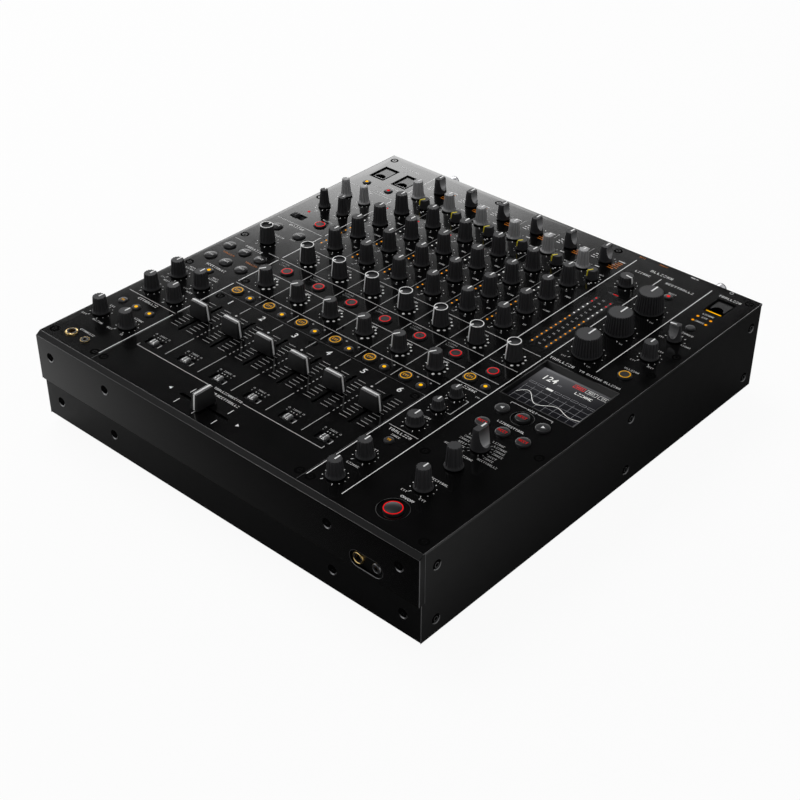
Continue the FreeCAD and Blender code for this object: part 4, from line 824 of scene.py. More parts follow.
fx_keys = Piece("fx_keys", BUTTON, EDGE, DARK_RED, WHITE)
for x, y in FX_KEY_AT:
    fx_keys.take(keys["plain"], BUTTON, x, y)
    fx_keys.take(rim, EDGE, x, y)
    if y == FX_KEY_ROWS[0] and x != FX_X:
        arrow(fx_keys, WHITE, x, y, KEY_RISE, 0 if x > FX_X else 180)
    else:
        legend(fx_keys, DARK_RED, (4,), x, y, 2.6, KEY_RISE + 0.02, 1.6, 0.5)
fx_keys.place("fx_buttons", "button", "fx_buttons")
big_key = Piece("fx_on_key", BUTTON, BUTTON_TOP, RED)
big_face = lathe([(0, 0.9), (6.35, 0.9), (6.35, KEY_RISE - 0.1), (5.6, KEY_RISE + 0.06),
                  (4.2, KEY_RISE + 0.26), (2.4, KEY_RISE + 0.42), (0, KEY_RISE + 0.48)], 56)
big_ring = ring(7.1, 6.4, KEY_RISE - 0.4, KEY_RISE + 0.05, 56)
for shape, material in ((keys["big"], BUTTON), (big_ring, RED), (big_face, BUTTON_TOP)):
    big_key.take(shape, material, FX_X, FX_ON_Y)
big_key.place("fx_on_button", "button", "fx_on_button")
print("effect keys", len(FX_KEY_AT) + 1)

# %% [markdown]
# ## Meters and lamps
# The CAD light bars lie in slots of the panel. Each lamp is a small bevelled lens on its bar: most are
# orange, then white, with red at the top. The lit lenses are grouped in one piece.

# %% Meter lamps
METER_X = [x - 14.8 for x in CHANNEL_X] + [97.55, 111.75]
METER_COLOURS = [ORANGE] * 9 + [LIT_WHITE] * 4 + [RED] * 2
METER_FIRST, METER_PITCH = 43.3, 6.17
METER_Y = [METER_FIRST + METER_PITCH * i for i in range(len(METER_COLOURS))]
MODE_LAMPS = [(x, y) for y in (162.3, 154.8) for x in (175.6, 187.8)]
lamps = Piece("meter_lamps", ORANGE, LIT_WHITE, RED, DARK_RED)
lens_bar = block(1.35, 1.5, -0.35, -0.02, 0.12)
for x in METER_X:
    for y, lit in zip(METER_Y, METER_COLOURS):
        lamps.take(lens_bar, lit, x, y)
round_lamp = lathe([(0, -0.2), (1.2, -0.2), (1.2, 0.05), (0.8, 0.2), (0, 0.25)], 20)
for x, y in MODE_LAMPS:
    lamps.take(round_lamp, ORANGE, x, y)
lamps.take(round_lamp, RED, -185.2, 76.8)
lamps.take(block(5.0, 1.2, -0.4, -0.05, 0.1), DARK_RED, 106.8, 144.3)
lamps.place("chassis", "lens")
print("lamps", len(METER_X) * len(METER_COLOURS) + len(MODE_LAMPS) + 2)

# %% [markdown]
# ## Printing
# Legends, scales and frame lines are screen-printed on the panel. Painting them in the shader would blur in
# the export, so they are thin solids, 0.05 mm proud. Lines and dots come first.


# %% Lines and dots
def line(piece, material, x0, y0, x1, y1, width=0.8):
    """A printed line from one point to another."""
    shape = block(math.hypot(x1 - x0, y1 - y0), width, 0, PRINT_H)
    turn = -math.degrees(math.atan2(y1 - y0, x1 - x0))
    piece.take(shape, material, (x0 + x1) / 2, (y0 + y1) / 2, 0, turn)
    shape.free()


def dot(piece, material, x, y, radius):
    """A printed dot."""
    shape = bmesh.new()
    bmesh.ops.create_cone(shape, cap_ends=True, segments=10, radius1=radius, radius2=radius, depth=PRINT_H,
                          matrix=Matrix.Translation((0, 0, PRINT_H / 2)))
    piece.take(shape, material, x, y)
    shape.free()


print("lines and dots ready")

# %% [markdown]
# The frame lines divide the panel into sections. Their end points are in millimetres: strong lines between
# the sections first, then thinner ones inside them, then the dividers between the channel strips.

# %% Frame lines
STRONG_LINES = (
    (-142.8, -200, -142.8, -123.5), (-142.8, -118.5, -142.8, -56), (-142.8, -50.5, -142.8, -3.5),
    (-142.8, 1.5, -142.8, 49), (-142.8, 54, -142.8, 141), (-142.8, 146.5, -142.8, 203),
    (86.5, -200, 86.5, 204), (120.6, -200, 120.6, 191), (162.5, 40, 162.5, 204),
)
THIN_LINES = (
    (-200, -121, -142.8, -121), (-142.8, -53.3, 84, -53.3), (-142.8, -23.6, 84, -23.6),
    (-142.8, -0.8, 84, -0.8), (-142.8, 28.4, 84, 28.4), (90, -23.6, 117.5, -23.6), (90, -0.8, 117.5, -0.8),
    (90, 28.4, 117.5, 28.4), (-130, -171.8, -42, -171.8), (-8.5, -171.8, 73.5, -171.8),
    (-130, -171.8, -130, -168.5), (73.5, -171.8, 73.5, -168.5), (-200, 51.7, -144, 51.7),
    (-200, 143.7, -144, 143.7), (86.5, -39.8, 120.6, -39.8), (89.4, -116.9, 117.8, -116.9),
    (115.2, -56.7, 115.2, -78.2), (112.5, -56.7, 115.2, -56.7), (112.5, -78.2, 115.2, -78.2),
    (139, -34.5, 153, -34.5), (163.4, -34.5, 177.5, -34.5), (139, -36.8, 139, -34.5),
    (177.5, -36.8, 177.5, -34.5), (-200, -1.0, -188, -1.0), (-157, -1.0, -144, -1.0),
    (141.4, 163.5, 141.4, 157.0), (141.4, 120.5, 141.4, 114.5),
)
DIVIDERS = ((-55.8, -69.2), (-74, -86.2), (-136, -166), (-25.6, -51.3), (-2.8, -21.6), (26.4, 1.2), (30.4, 196))
DASHES, DASH_FIRST, DASH_PITCH, DASH_L = 7, -106.2, 4.17, 1.6
frame_lines = Piece("print_frames", WHITE, MID, DIM)
for ends in STRONG_LINES:
    line(frame_lines, WHITE, *ends, 0.68)
for ends in THIN_LINES:
    line(frame_lines, MID, *ends, 0.5)
for x in [x + CHANNEL_PITCH / 2 for x in CHANNEL_X[:-1]]:
    for y0, y1 in DIVIDERS:
        line(frame_lines, MID if y1 < 20 else DIM, x, y0, x, y1, 0.48)
    dot(frame_lines, MID, x, -90.2, 1.0)
    for y in [DASH_FIRST - DASH_PITCH * i for i in range(DASHES)]:
        line(frame_lines, MID, x, y, x, y - DASH_L, 0.6)
frame_lines.place("chassis", "panel")
print("frame lines", len(STRONG_LINES) + len(THIN_LINES))

# %% [markdown]
# Every dial has its own scale. Compressor, send and filter dots swell clockwise; the others are even, with
# a tick at each end. An Array modifier could set even dots, but a loop over the angles also lets them grow.

# %% Scale tools
SCALE_STEP, SCALE_HALF = 30, 5
DIAL_R, SMALL_DIAL_R = 9.4, 7.6


def around(x, y, radius, angle):
    """The point at a radius and a clockwise angle from the rear."""
    return x + radius * math.sin(math.radians(angle)), y + radius * math.cos(math.radians(angle))


def tick(piece, material, x, y, near, far, angle, width=0.5):
    """A printed line outwards from a dial."""
    line(piece, material, *around(x, y, near, angle), *around(x, y, far, angle), width)


def scale(piece, x, y, radius, size=0.42, grow=0.0):
    """Dots every 30 degrees; growing ones swell clockwise, and even ones end in ticks."""
    for step in range(-SCALE_HALF, SCALE_HALF + 1):
        angle = SCALE_STEP * step
        if grow:
            swell = grow * (step + SCALE_HALF) / (2 * SCALE_HALF)
            dot(piece, WHITE, *around(x, y, radius, angle), size + swell)
        elif abs(step) < SCALE_HALF:
            dot(piece, WHITE, *around(x, y, radius, angle), size)
        else:
            tick(piece, WHITE, x, y, radius - 0.5, radius + 1.5, angle)


print("scale tools ready")

# %% [markdown]
# The channel strips get their scales in one loop, with a ladder of eleven ticks on both sides of each fader.
# Selectors have ticks at their settings.

# %% Scales of the channels
SELECTOR_TICKS = (-90, -60, -30, 30, 60, 90)
LADDER, LADDER_FIRST, LADDER_PITCH = 11, -90.5, 4.16
scales = Piece("print_scales", WHITE, MID, DIM)
for x in CHANNEL_X:
    for y in EQ_Y:
        scale(scales, x, y, DIAL_R)
    scale(scales, x + TRIM_AT[0], TRIM_AT[1], 8.6)
    scale(scales, x + COMP_AT[0], COMP_AT[1], 7.2, 0.25, 0.45)
    scale(scales, x, FILTER_Y, DIAL_R, 0.35, 0.9)
    for angle in SELECTOR_TICKS:
        tick(scales, WHITE, x + SELECTOR_AT[0], SELECTOR_AT[1], 8.2, 9.6, angle)
    for y in [LADDER_FIRST - LADDER_PITCH * i for i in range(LADDER)]:
        line(scales, MID, x - 13, y, x - 5, y, 0.3)
        line(scales, MID, x + 5, y, x + 12.6, y, 0.3)
for x in CHANNEL_X + [MASTER_X]:
    scale(scales, x, SEND_Y, DIAL_R, 0.35, 0.9)
print("channel scales drawn")

# %% [markdown]
# The other sections follow, and the crossfader's marks at its ends and its middle.

# %% Scales of the sections
FX_TICKS = [side * (10 + 23.3 * i) for side in (-1, 1) for i in range(7)]
MULTI_TICKS = (-80, -35, 13, 42, 80)
PLAIN_DIALS = [(BOOTH_X, y) for y in (BOOTH_Y, *PHONES_B_Y)] + [(x, PHONES_A_Y) for x in PHONES_A_X]
PLAIN_DIALS += [(FX_X, FX_DEPTH_Y), RESONANCE_AT, (MASTER_X, MASTER_Y), (MULTI_X, MULTI_LEVEL_Y)]
for y in ISOLATOR_Y:
    scale(scales, ISOLATOR_X, y, 14.7, 0.5)
for y in BOOTH_EQ_Y:
    scale(scales, BOOTH_X, y, 7.4, 0.35)
for x, y in MIC_AT:
    scale(scales, x, y, SMALL_DIAL_R, 0.35)
for x, y in PLAIN_DIALS + SEND_FX_AT:
    scale(scales, x, y, DIAL_R)
for angle in FX_TICKS:
    tick(scales, DIM, FX_X, FX_SELECT_Y, 8.0, 9.6, angle)
for angle in MULTI_TICKS:
    tick(scales, MID, MULTI_X, MULTI_SELECT_Y, 8.4, 9.8, angle, 0.8)
for x, rear, front in ((-49, (-182, -188), (-198.8, -205)), (-7.5, (-182, -188), (-198.8, -205)),
                       (CROSS_X, (-181, -186.5), (-200.3, -206))):
    for y0, y1 in (rear, front):
        line(scales, WHITE, x, y0, x, y1, 0.6)
scales.take(ring(1.75, 1.25, 0, PRINT_H, 24), MID, 177.0, 211.4)
scales.place("chassis", "panel")
print("section scales drawn")

# %% [markdown]
# Plain numbers name the channels. They are text curves, made into meshes before they are placed. Other
# legends are rows of signs fitted between two points.

# %% Numbers and rows of signs
NUMBER_SIZE, NUMBER_WEIGHT = 1.38, 0.012
SIGN_PITCH, SIGN_W, SIGN_GAP = 0.95, 0.64, 0.3


def number(piece, material, text, x, y, size, z=0.0, thick=PRINT_H):
    """A number about (x, y), as thick as the print."""
    curve = bpy.data.curves.new("number", "FONT")
    curve.body = text
    curve.size = size * NUMBER_SIZE
    curve.align_x = "CENTER"
    curve.align_y = "CENTER"
    curve.extrude = thick / 2
    curve.offset = size * NUMBER_WEIGHT
    made = show("number", curve)
    mesh = final_mesh(made)
    bpy.data.objects.remove(made)
    bpy.data.curves.remove(curve)
    piece.take_mesh(mesh, material, x, y, z + thick / 2)


def word(piece, material, x0, x1, y, height=1.5):
    """A row of signs from x0 to x1."""
    count = max(1, round((x1 - x0) / (SIGN_PITCH * height)))
    pitch = (x1 - x0) / (count - SIGN_GAP)
    for i in range(count):
        x = x0 + pitch * (i + (1 - SIGN_GAP) / 2)
        sign(piece, material, x, y, SIGN_W * pitch, height, sign_kind(i, count))


print("numbers and rows ready")

# %% [markdown]
# One loop prints the legends of a channel: its number, a short row beside each knob, small ones at the ends
# of the scales, and the orange rows beside the selector.

# %% Legends of the channels
STRIP_LEGENDS = ((4, 1, 172.9, 1.3, 0.8), (4, 13.2, 162.5, 1.4, 0.8), (4, 0, 23.6, 1.6, 0.9),
                 (5, 1, -27.0, 1.6, 0.9))
SELECTOR_ROWS = ((3,), (2, 2), (4,))
ORANGE_ROWS = ((5,), (6,), (4, 2), (5, 3), (6,))
legends = Piece("print_legends", WHITE, MID, DIM, ORANGE_PRINT)
for i, x in enumerate(CHANNEL_X):
    number(legends, WHITE, str(i + 1), x, -79.2, 6.4)
    word(legends, DIM, x - 15.3, x - 6.2, -4.2)
    word(legends, DIM, x - 15.5, x - 7.2, -7.5)
    for y, n in zip(EQ_Y, (2, 5, 6, 3)):
        legend(legends, WHITE, (n,), x + 13, y + 11.5, 1.5, 0, 0.8, 0.3)
        for angle, end in ((LOWEST, 3), (-LOWEST, 2)):
            legend(legends, DIM, (end,), *around(x, y, 12.6, angle), 1.0, 0, 0.6, 0.25)
    for n, dx, y, height, letter in STRIP_LEGENDS:
        legend(legends, WHITE, (n,), x + dx, y, height, 0, letter, 0.3)
    for dx in (-1.2, 11.9):
        dot(legends, DIM, x + dx, -57.1, 0.85)
    for near, far, y in ((-8.9, -7.3, -151.4), (-4.3, 3.4, -151.0), (5.6, 7.2, -151.0)):
        word(legends, MID, x + near, x + far, y, 1.6)
    for dx in (-8.0, -3.2, -0.6, 2.6, 6.4):
        dot(legends, MID if abs(dx) < 4 else DIM, x + dx, -154.4, 0.5)
    line(legends, MID, x + 7.9, -164.7, x + 7.9, -159.9, 0.7)
    for down, row in enumerate(SELECTOR_ROWS):
        legend(legends, WHITE, row, x - 11.5, 190.5 - 3.4 * down, 1.1, 0, 0.7, 0.3)
    legend(legends, WHITE, (7,), x + 13, 192.6, 1.2, 0, 0.7, 0.25)
    for down, row in enumerate(ORANGE_ROWS):
        legend(legends, ORANGE_PRINT, row, x + 13.2 - 0.6 * down, 189.4 - 2.9 * down, 1.2, 0, 0.75, 0.25)
print("channel legends", CHANNELS)

# %% [markdown]
# The sections have a title each and a short row by every control. Each entry is a row's two ends, its place
# from front to rear and its height; the smallest are printed paler.

# %% Legends of the sections
SECTION_ROWS = (
    (-183.1, -161.5, 200.4, 1.6), (-174.1, -169.4, 194.0, 1.4), (-176.4, -168.6, 155.3, 1.4),
    (-167.2, -151.8, 161.9, 1.5), (-165.2, -151.6, 147.0, 1.5), (-177.5, -166.5, 140.0, 2.6),
    (-184.4, -179.6, 110.4, 1.5), (-161.7, -156.9, 110.4, 1.5), (-183.7, -180.3, 82.5, 1.5),
    (-161.7, -156.9, 82.5, 1.5), (-165.0, -153.6, 74.4, 1.5), (-188.4, -183.6, 70.6, 1.4),
    (-181.0, -164.0, 48.3, 2.3), (-188.9, -184.3, 29.2, 1.4), (-161.6, -155.6, 29.2, 1.4),
    (-180.0, -166.0, 26.0, 1.6), (-182.0, -162.0, -4.8, 2.5), (-184.6, -161.7, -48.3, 2.2),
    (-191.1, -184.6, -61.6, 1.5), (-193.1, -183.0, -64.6, 1.6), (-162.4, -155.9, -61.6, 1.5),
    (-164.4, -154.3, -64.6, 1.6), (-191.1, -184.6, -91.2, 1.5), (-162.4, -155.9, -91.2, 1.5),
    (-197.2, -192.6, -88.9, 1.4), (-168.5, -163.9, -88.9, 1.4), (-184.0, -161.0, -124.6, 2.5),
    (-192.0, -186.6, -148.1, 1.7), (-161.6, -151.8, -147.7, 1.7), (-200.8, -195.4, -170.4, 1.5),
    (-186.2, -174.7, -170.9, 1.6), (-167.9, -162.2, -170.9, 1.5), (-151.8, -149.2, -171.0, 1.5),
    (-181.2, -164.6, -187.2, 1.8), (-40.1, -10.2, -171.3, 2.0), (-36.5, -32.4, -177.1, 2.3),
    (-30.8, -7.6, -177.1, 2.3), (96.0, 111.0, -43.2, 2.5), (114.6, 118.4, -47.8, 1.4),
    (98.2, 108.6, -92.6, 1.5), (93.0, 114.2, -120.6, 2.5), (99.4, 107.4, -125.4, 1.6),
    (100.4, 106.4, -147.4, 1.7), (97.8, 109.0, -170.7, 1.7), (154.0, 162.4, -34.5, 1.8),
    (146.0, 170.5, -60.3, 2.0), (152.6, 163.6, -110.8, 1.7), (146.4, 169.8, -144.8, 1.9),
    (147.2, 152.4, -168.1, 1.6), (163.8, 169.4, -168.1, 1.6), (179.6, 190.2, 132.6, 1.9),
    (168.9, 173.2, 116.1, 1.5), (189.4, 198.1, 116.5, 1.5), (180.9, 185.7, 97.1, 1.6),
    (171.2, 175.9, 73.2, 1.4), (187.0, 192.7, 73.2, 1.5), (175.0, 188.0, 60.2, 1.7),
    (176.7, 186.9, 168.1, 1.7), (179.1, 184.0, 162.8, 1.7), (177.5, 185.8, 155.1, 1.7),
    (171.0, 191.9, 201.7, 2.6), (127.0, 154.0, 188.5, 2.5), (96.0, 111.0, 188.5, 2.4),
    (106.0, 128.0, 197.2, 3.0), (123.0, 146.0, 33.5, 2.6), (151.4, 156.0, 33.2, 2.0),
    (158.4, 172.4, 33.2, 2.0), (174.8, 189.7, 33.2, 2.0), (137.6, 144.8, 177.0, 1.6),
    (127.4, 131.7, 41.8, 1.4), (151.5, 155.0, 41.8, 1.4), (151.6, 154.7, 85.0, 1.4),
    (127.4, 131.7, 84.9, 1.4), (127.4, 131.7, 127.7, 1.4), (151.5, 155.0, 127.7, 1.4),
)
for x0, x1, y, height in SECTION_ROWS:
    word(legends, WHITE if height > 1.4 else MID, x0, x1, y, height * 1.1)
print("section legends", len(SECTION_ROWS))

# %% [markdown]
# What is left are the switch's legend, the isolator's rows, the orange rows, the marks between the master
# meters, the fan of rows round the effect selector and the crossfader's arrows.

# %% Last legends
FX_ROWS = ((2.0, 12.5, -83.0), (6.1, 17.1, -86.8), (9.4, 18.3, -90.6), (10.7, 19.8, -94.4), (10.2, 17.4, -98.7),
           (9.0, 17.5, -102.3), (6.5, 24.0, -106.3))
number(legends, WHITE, "ON/OFF", 158.0, -174.0, 2.4)
for y, n in zip(ISOLATOR_Y, (2, 3, 3)):
    legend(legends, WHITE, (n,), ISOLATOR_X - 15.5, y + 13.5, 1.6, 0, 0.9, 0.35)
for x0, x1, y in ((85.0, 91.0, 210.8), (105.5, 114.0, 210.8), (-189.4, -175.6, -24.7), (-161.4, -147.6, -24.7)):
    word(legends, ORANGE_PRINT, x0, x1, y, 1.8)
legend(legends, WHITE, (4, 2), 141, 210.8, 1.3, 0, 0.8, 0.3)
for y in METER_Y:
    legend(legends, MID, (2,), 104.65, y, 1.6)
for near, far, y in FX_ROWS:
    word(legends, MID, FX_X + near, FX_X + far, y, 1.9)
    word(legends, MID, FX_X - far, FX_X - near, y, 1.9)
for x, turn in ((-65, 180), (8.5, 0)):
    arrow(legends, WHITE, x, CROSS_Y, 0, turn)
legends.place("chassis", "panel")
print("legends drawn")

# %% [markdown]
# ## Display
# The screen lies at the foot of a sunk frame. Its glass glows with a painted reflection: a sheen that is
# brightest at the far left corner and fades across the screen, standing for the rear light mirrored in the
# glass. The fade is arithmetic on the two Object coordinates and feeds Emission Color.

# %% Screen glass
SCREEN_W, SCREEN_D = 66.6, 53.4
SCREEN_Y, SCREEN_Z = -2.1, -4.9
REFLECTION_LOW, REFLECTION_HIGH = (0.003, 0.003, 0.0034, 1), (0.13, 0.13, 0.136, 1)


def glass_painted_reflection():
    """Glass with a painted reflection that fades from the far left corner to the near edge."""
    material = finish("glass_painted_reflection", (0.006, 0.006, 0.008), 0.08, grain=1.0, relief=0.0005,
                      Emission_Strength=1.0)
    start = Flow(material.node_tree)
    place = start.node("TexCoord", out=3)
    share = []
    for axis, middle, span in ((0, FX_X, SCREEN_W), (1, SCREEN_Y + CASE_Y, SCREEN_D)):
        value = start.node("SeparateXYZ", None, {"Vector": place}, axis)
        share.append(start.node("MapRange", None, {
            "Value": value, "From Min": (middle - span / 2) * MM, "From Max": (middle + span / 2) * MM}))
    # The painted reflection's share: strongest at the rear, weaker to the right.
    tone = share[1] ** 2.4 * (1 - 0.9 * share[0])
    glow = start.node("Mix", {"data_type": "RGBA"}, {0: tone, 6: REFLECTION_LOW, 7: REFLECTION_HIGH}, 2)
    glow.feed(start.tree.nodes["Principled BSDF"].inputs["Emission Color"])
    return material


GLASS = glass_painted_reflection()
LIT_GREY = lamp("screen_grey", (0.2, 0.2, 0.21), 0.6)
LIT_RED = lamp("screen_red", (0.65, 0.02, 0.02), 0.7)
screen = Piece("screen_picture", GLASS, LIT_WHITE, LIT_GREY, LIT_RED)
screen.take(block(SCREEN_W, SCREEN_D, SCREEN_Z + 0.02, SCREEN_Z + 0.3), GLASS, FX_X, SCREEN_Y)
print("glass", SCREEN_W, "by", SCREEN_D, "mm")

# %% [markdown]
# What the screen shows is made of thin blocks that glow, placed from the middle of the glass. A picture on
# the glass would need a file; blocks stay sharp from near by.

# %% Picture tools
UI_Z, UI_H = SCREEN_Z + 0.32, 0.03
BAR_Z = UI_Z - 0.01


def screen_bar(material, dx, dy, width, depth, z=BAR_Z, turn=0.0):
    """A lit bar on the screen."""
    shape = block(width, depth, 0, UI_H)
    screen.take(shape, material, FX_X + dx, SCREEN_Y + dy, z, turn)
    shape.free()


def screen_box(material, dx, dy, width, depth, wide):
    """A lit outline of four bars."""
    for side in (-1, 1):
        screen_bar(material, dx + side * (width - wide) / 2, dy, wide, depth)
        screen_bar(material, dx, dy + side * (depth - wide) / 2, width, wide)


def screen_row(material, count, dx, dy, height, letter, gap):
    """A lit row of signs."""
    legend(screen, material, (count,), FX_X + dx, SCREEN_Y + dy, height, UI_Z, letter, gap, UI_H)


print("picture tools ready")

# %% [markdown]
# The picture is a plain one of its own: tempo digits, three boxes, a row of eight beats, and a damped curve
# on a grid. The curve is a chain of short bars.

# %% Picture
BOX_PITCH, BEATS, BEAT_PITCH, BEAT_FIRST = 11.5, 8, 7.85, -27.5
GRID_W, GRID_D, GRID_PITCH_X, GRID_PITCH_Y, GRID_LINE = 60, 24, 7.5, 7, 0.2
WAVE_STEPS, WAVE_MIDDLE, WAVE_H = 48, -13.5, 8
number(screen, LIT_WHITE, "124", FX_X - 20, SCREEN_Y + 15.7, 6.6, UI_Z, UI_H)
screen_row(LIT_GREY, 3, -9, 13.7, 1.6, 0.9, 0.35)
for i, (material, count) in enumerate(((LIT_RED, 5), (LIT_WHITE, 4), (LIT_WHITE, 3))):
    screen_box(material, 4 + BOX_PITCH * i, 21.5, 10, 4.4, 0.3)
    screen_row(material, count, 4 + BOX_PITCH * i, 21.5, 1.7, 1.1, 0.4)
screen_row(LIT_WHITE, 6, 13, 14.2, 3.0, 2.1, 0.6)
for i in range(BEATS):
    screen_box(LIT_GREY, BEAT_FIRST + BEAT_PITCH * i, 4.5, 6.4, 2.4, 0.25)
screen_bar(LIT_WHITE, BEAT_FIRST + BEAT_PITCH * 2, 4.5, 6.4, 2.4)
for i in range(9):
    screen_bar(LIT_GREY, GRID_PITCH_X * i - GRID_W / 2, -11.5, GRID_LINE, GRID_D)
for i in range(4):
    screen_bar(LIT_GREY, 0, -2.5 - GRID_PITCH_Y * i, GRID_W, GRID_LINE)
wave = [(GRID_W * (i / WAVE_STEPS - 0.5), WAVE_MIDDLE + WAVE_H * math.sin(0.26 * i) * math.exp(-0.035 * i))
        for i in range(WAVE_STEPS + 1)]
for (x0, y0), (x1, y1) in zip(wave, wave[1:]):
    turn = -math.degrees(math.atan2(y1 - y0, x1 - x0))
    screen_bar(LIT_WHITE, (x0 + x1) / 2, (y0 + y1) / 2, math.hypot(x1 - x0, y1 - y0) + 0.2, 0.45, UI_Z, turn)
screen.place("chassis", "screen")
print("screen drawn")

# %% [markdown]
# ## Sockets and bays
# The phones sockets are held by nuts, gold on the large ones, with a dark plastic throat inside. The pair in
# the front skirt shows through a slot with round ends; a bright metal bead on its lower half is a painted
# highlight, where the slot's lower edge catches the light.

# %% Phones sockets
FRONT_Y, TRAY_Y, REAR_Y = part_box("top_panel")[0].y / MM - CASE_Y, -211.55, 214.15
PHONES_X, PHONES_Z = (147.7, 164.9), 54.5 - PANEL_Z
NUT_Y = TRAY_Y - 0.9
TOP_PHONES = ((-182.9, -195.0), (-165.5, -195.75))
SLOT_R = 7.0


def facing(shape, side):
    """Turns a shape made on Z so that it faces the rear (1) or the front (-1)."""
    bmesh.ops.rotate(shape, matrix=Matrix.Rotation(-side * math.pi / 2, 3, "X"), verts=shape.verts)
    return shape


def phones_parts(large):
    """The nut and the throat of a large or a small socket."""
    if large:
        nut = [(3.8, 0), (3.9, 1.0), (4.3, 1.25), (4.8, 1.0), (5.05, 0.5), (5.05, 0), (3.8, 0)]
        return lathe(nut, 40), ring(3.85, 3.0, 0, 1.06, 36)
    nut = [(2.7, 0), (2.8, 0.95), (3.2, 1.15), (3.7, 0.95), (4.15, 0.3), (4.15, 0), (2.7, 0)]
    return lathe(nut, 32), ring(2.75, 1.7, 0, 1.06, 36)


def slot_lip():
    """A half-round bead about a slot with round ends: a ring whose halves are moved apart."""
    lip = lathe([(SLOT_R - 0.2, -0.3), (SLOT_R - 0.2, 0.05), (SLOT_R + 0.05, 0.22), (SLOT_R + 0.4, 0.02),
                 (SLOT_R + 0.4, -0.3), (SLOT_R - 0.2, -0.3)], 42)
    # The bead flattens towards the top, so its bright metal stays on the lower edge: a painted highlight.
    for vert in lip.verts:
        vert.co.z *= max(0.1, -vert.co.y / SLOT_R)
        vert.co.x += math.copysign((PHONES_X[1] - PHONES_X[0]) / 2, vert.co.x)
    return lip


top_trim = Piece("socket_trim", GOLD, KEY_LAMP, CASE, SOCKET)
front_trim = Piece("front_socket_trim", GOLD, CUP, SOCKET)
for (x, y), front_x, large in zip(TOP_PHONES, PHONES_X, (True, False)):
    nut, throat = phones_parts(large)
    top_trim.take(nut, GOLD if large else CASE, x, y)
    top_trim.take(throat, SOCKET, x, y)
    front_trim.take(facing(nut, -1), GOLD if large else CUP, front_x, NUT_Y, PHONES_Z)
    front_trim.take(facing(throat, -1), SOCKET, front_x, NUT_Y, PHONES_Z)
front_trim.take(facing(slot_lip(), -1), CUP, sum(PHONES_X) / 2, FRONT_Y, PHONES_Z)
top_trim.take(block(14.8, 2.3, -1.35, -1.0, 0.1), KEY_LAMP, 182.0, 175.75)
top_trim.place("chassis", "socket")
front_trim.place("chassis", "socket")
print("phones sockets", 2 * len(TOP_PHONES))

# %% [markdown]
# At the rear, each line socket is a plated shell over the CAD barrel, on a steel base, with a white or a red
# insulator for left and right. The microphone inputs get a steel rim, and the ground posts their caps.

# %% Rear sockets
PLUG_RED = finish("insulator_red", (0.5, 0.02, 0.02), 0.35, grain=0.4, relief=0.006)
PLUG_WHITE = finish("insulator_white", (0.7, 0.7, 0.68), 0.35, grain=0.4, relief=0.006)
LINE_Z = [34.2 + 15.0 * row - PANEL_Z for row in range(3)]
PAIR_X = 7.5
rear_trim = Piece("rear_socket_trim", STEEL, GOLD, PLUG_RED, PLUG_WHITE)
shell = facing(ring(4.32, 3.5, 4.5, 11.95, 32), 1)
base = facing(ring(5.6, 4.25, 0.02, 1.2, 32), 1)
insulator = facing(ring(3.5, 1.65, 11.0, 11.97, 28), 1)
for x in CHANNEL_X:
    for dx, colour in ((-PAIR_X, PLUG_WHITE), (PAIR_X, PLUG_RED)):
        for z in LINE_Z:
            for shape, material in ((shell, GOLD), (base, STEEL), (insulator, colour)):
                rear_trim.take(shape, material, x + dx, REAR_Y, z)
for x in (132.7, 164.7):
    rear_trim.take(facing(ring(11.4, 9.3, 1.6, 2.25, 48), 1), STEEL, x, REAR_Y, 34.2 - PANEL_Z)
post = facing(lathe([(0, 0.1), (5.1, 0.1), (5.1, 8.0), (4.6, 8.8), (4.0, 9.05), (0, 9.05)], 30), 1)
for x in (-134.7, 160.7):
    rear_trim.take(post, STEEL, x, REAR_Y, 81.5 - PANEL_Z)
rear_trim.place("chassis", "steel")
print("line sockets", 2 * CHANNELS * len(LINE_Z))

# %% [markdown]
# The CAD screws stay. Their places are read from the CAD mesh: each connected group of vertices is a screw.
# It is slimmest about its own axis, and its head is the end that holds the points farthest from that axis.

# %% Find the screws
AXES = [Vector(row) for row in ((1, 0, 0), (0, 1, 0), (0, 0, 1))]
THREAD_R = 2.5


def screw_head(points):
    """The middle of a screw's face and the direction it faces."""
    low, high = (Vector([pick(co[i] for co in points) for i in range(3)]) for pick in (min, max))
    middle = (low + high) / 2
    reach = [[(co - middle - (co - middle).project(way)).length for co in points] for way in AXES]
    axis = min(range(3), key=lambda i: max(reach[i]))
    head = [co[axis] for co, far in zip(points, reach[axis]) if far > THREAD_R]
    side = math.copysign(1, sum(head) / len(head) - middle[axis])
    middle[axis] = high[axis] if side > 0 else low[axis]
    return middle, AXES[axis] * side


def screw_heads(node):
    """The heads of all screws in a CAD node, on the panel's layout."""
    shape = bmesh.new()
    shape.from_mesh(nodes[node].data)
    bmesh.ops.remove_doubles(shape, verts=shape.verts, dist=WELD)
    to_layout = TO_FRAME.inverted()
    waiting, found = set(shape.verts), []
    while waiting:
        points, reached = [], [waiting.pop()]
        while reached:
            vert = reached.pop()
            points.append(to_layout @ vert.co)
            beside = {edge.other_vert(vert) for edge in vert.link_edges} & waiting
            waiting -= beside
            reached += beside
        found.append(screw_head(points))
    shape.free()
    return sorted(found, key=lambda head: tuple(round(c, 2) for c in head[0]))


heads = [head for head in screw_heads("case_screws") if head[1].z > -0.5 and head[1].y < 0.5]
print("screws seen", len(heads), "of them on the panel", sum(outward.z > 0.5 for _, outward in heads))
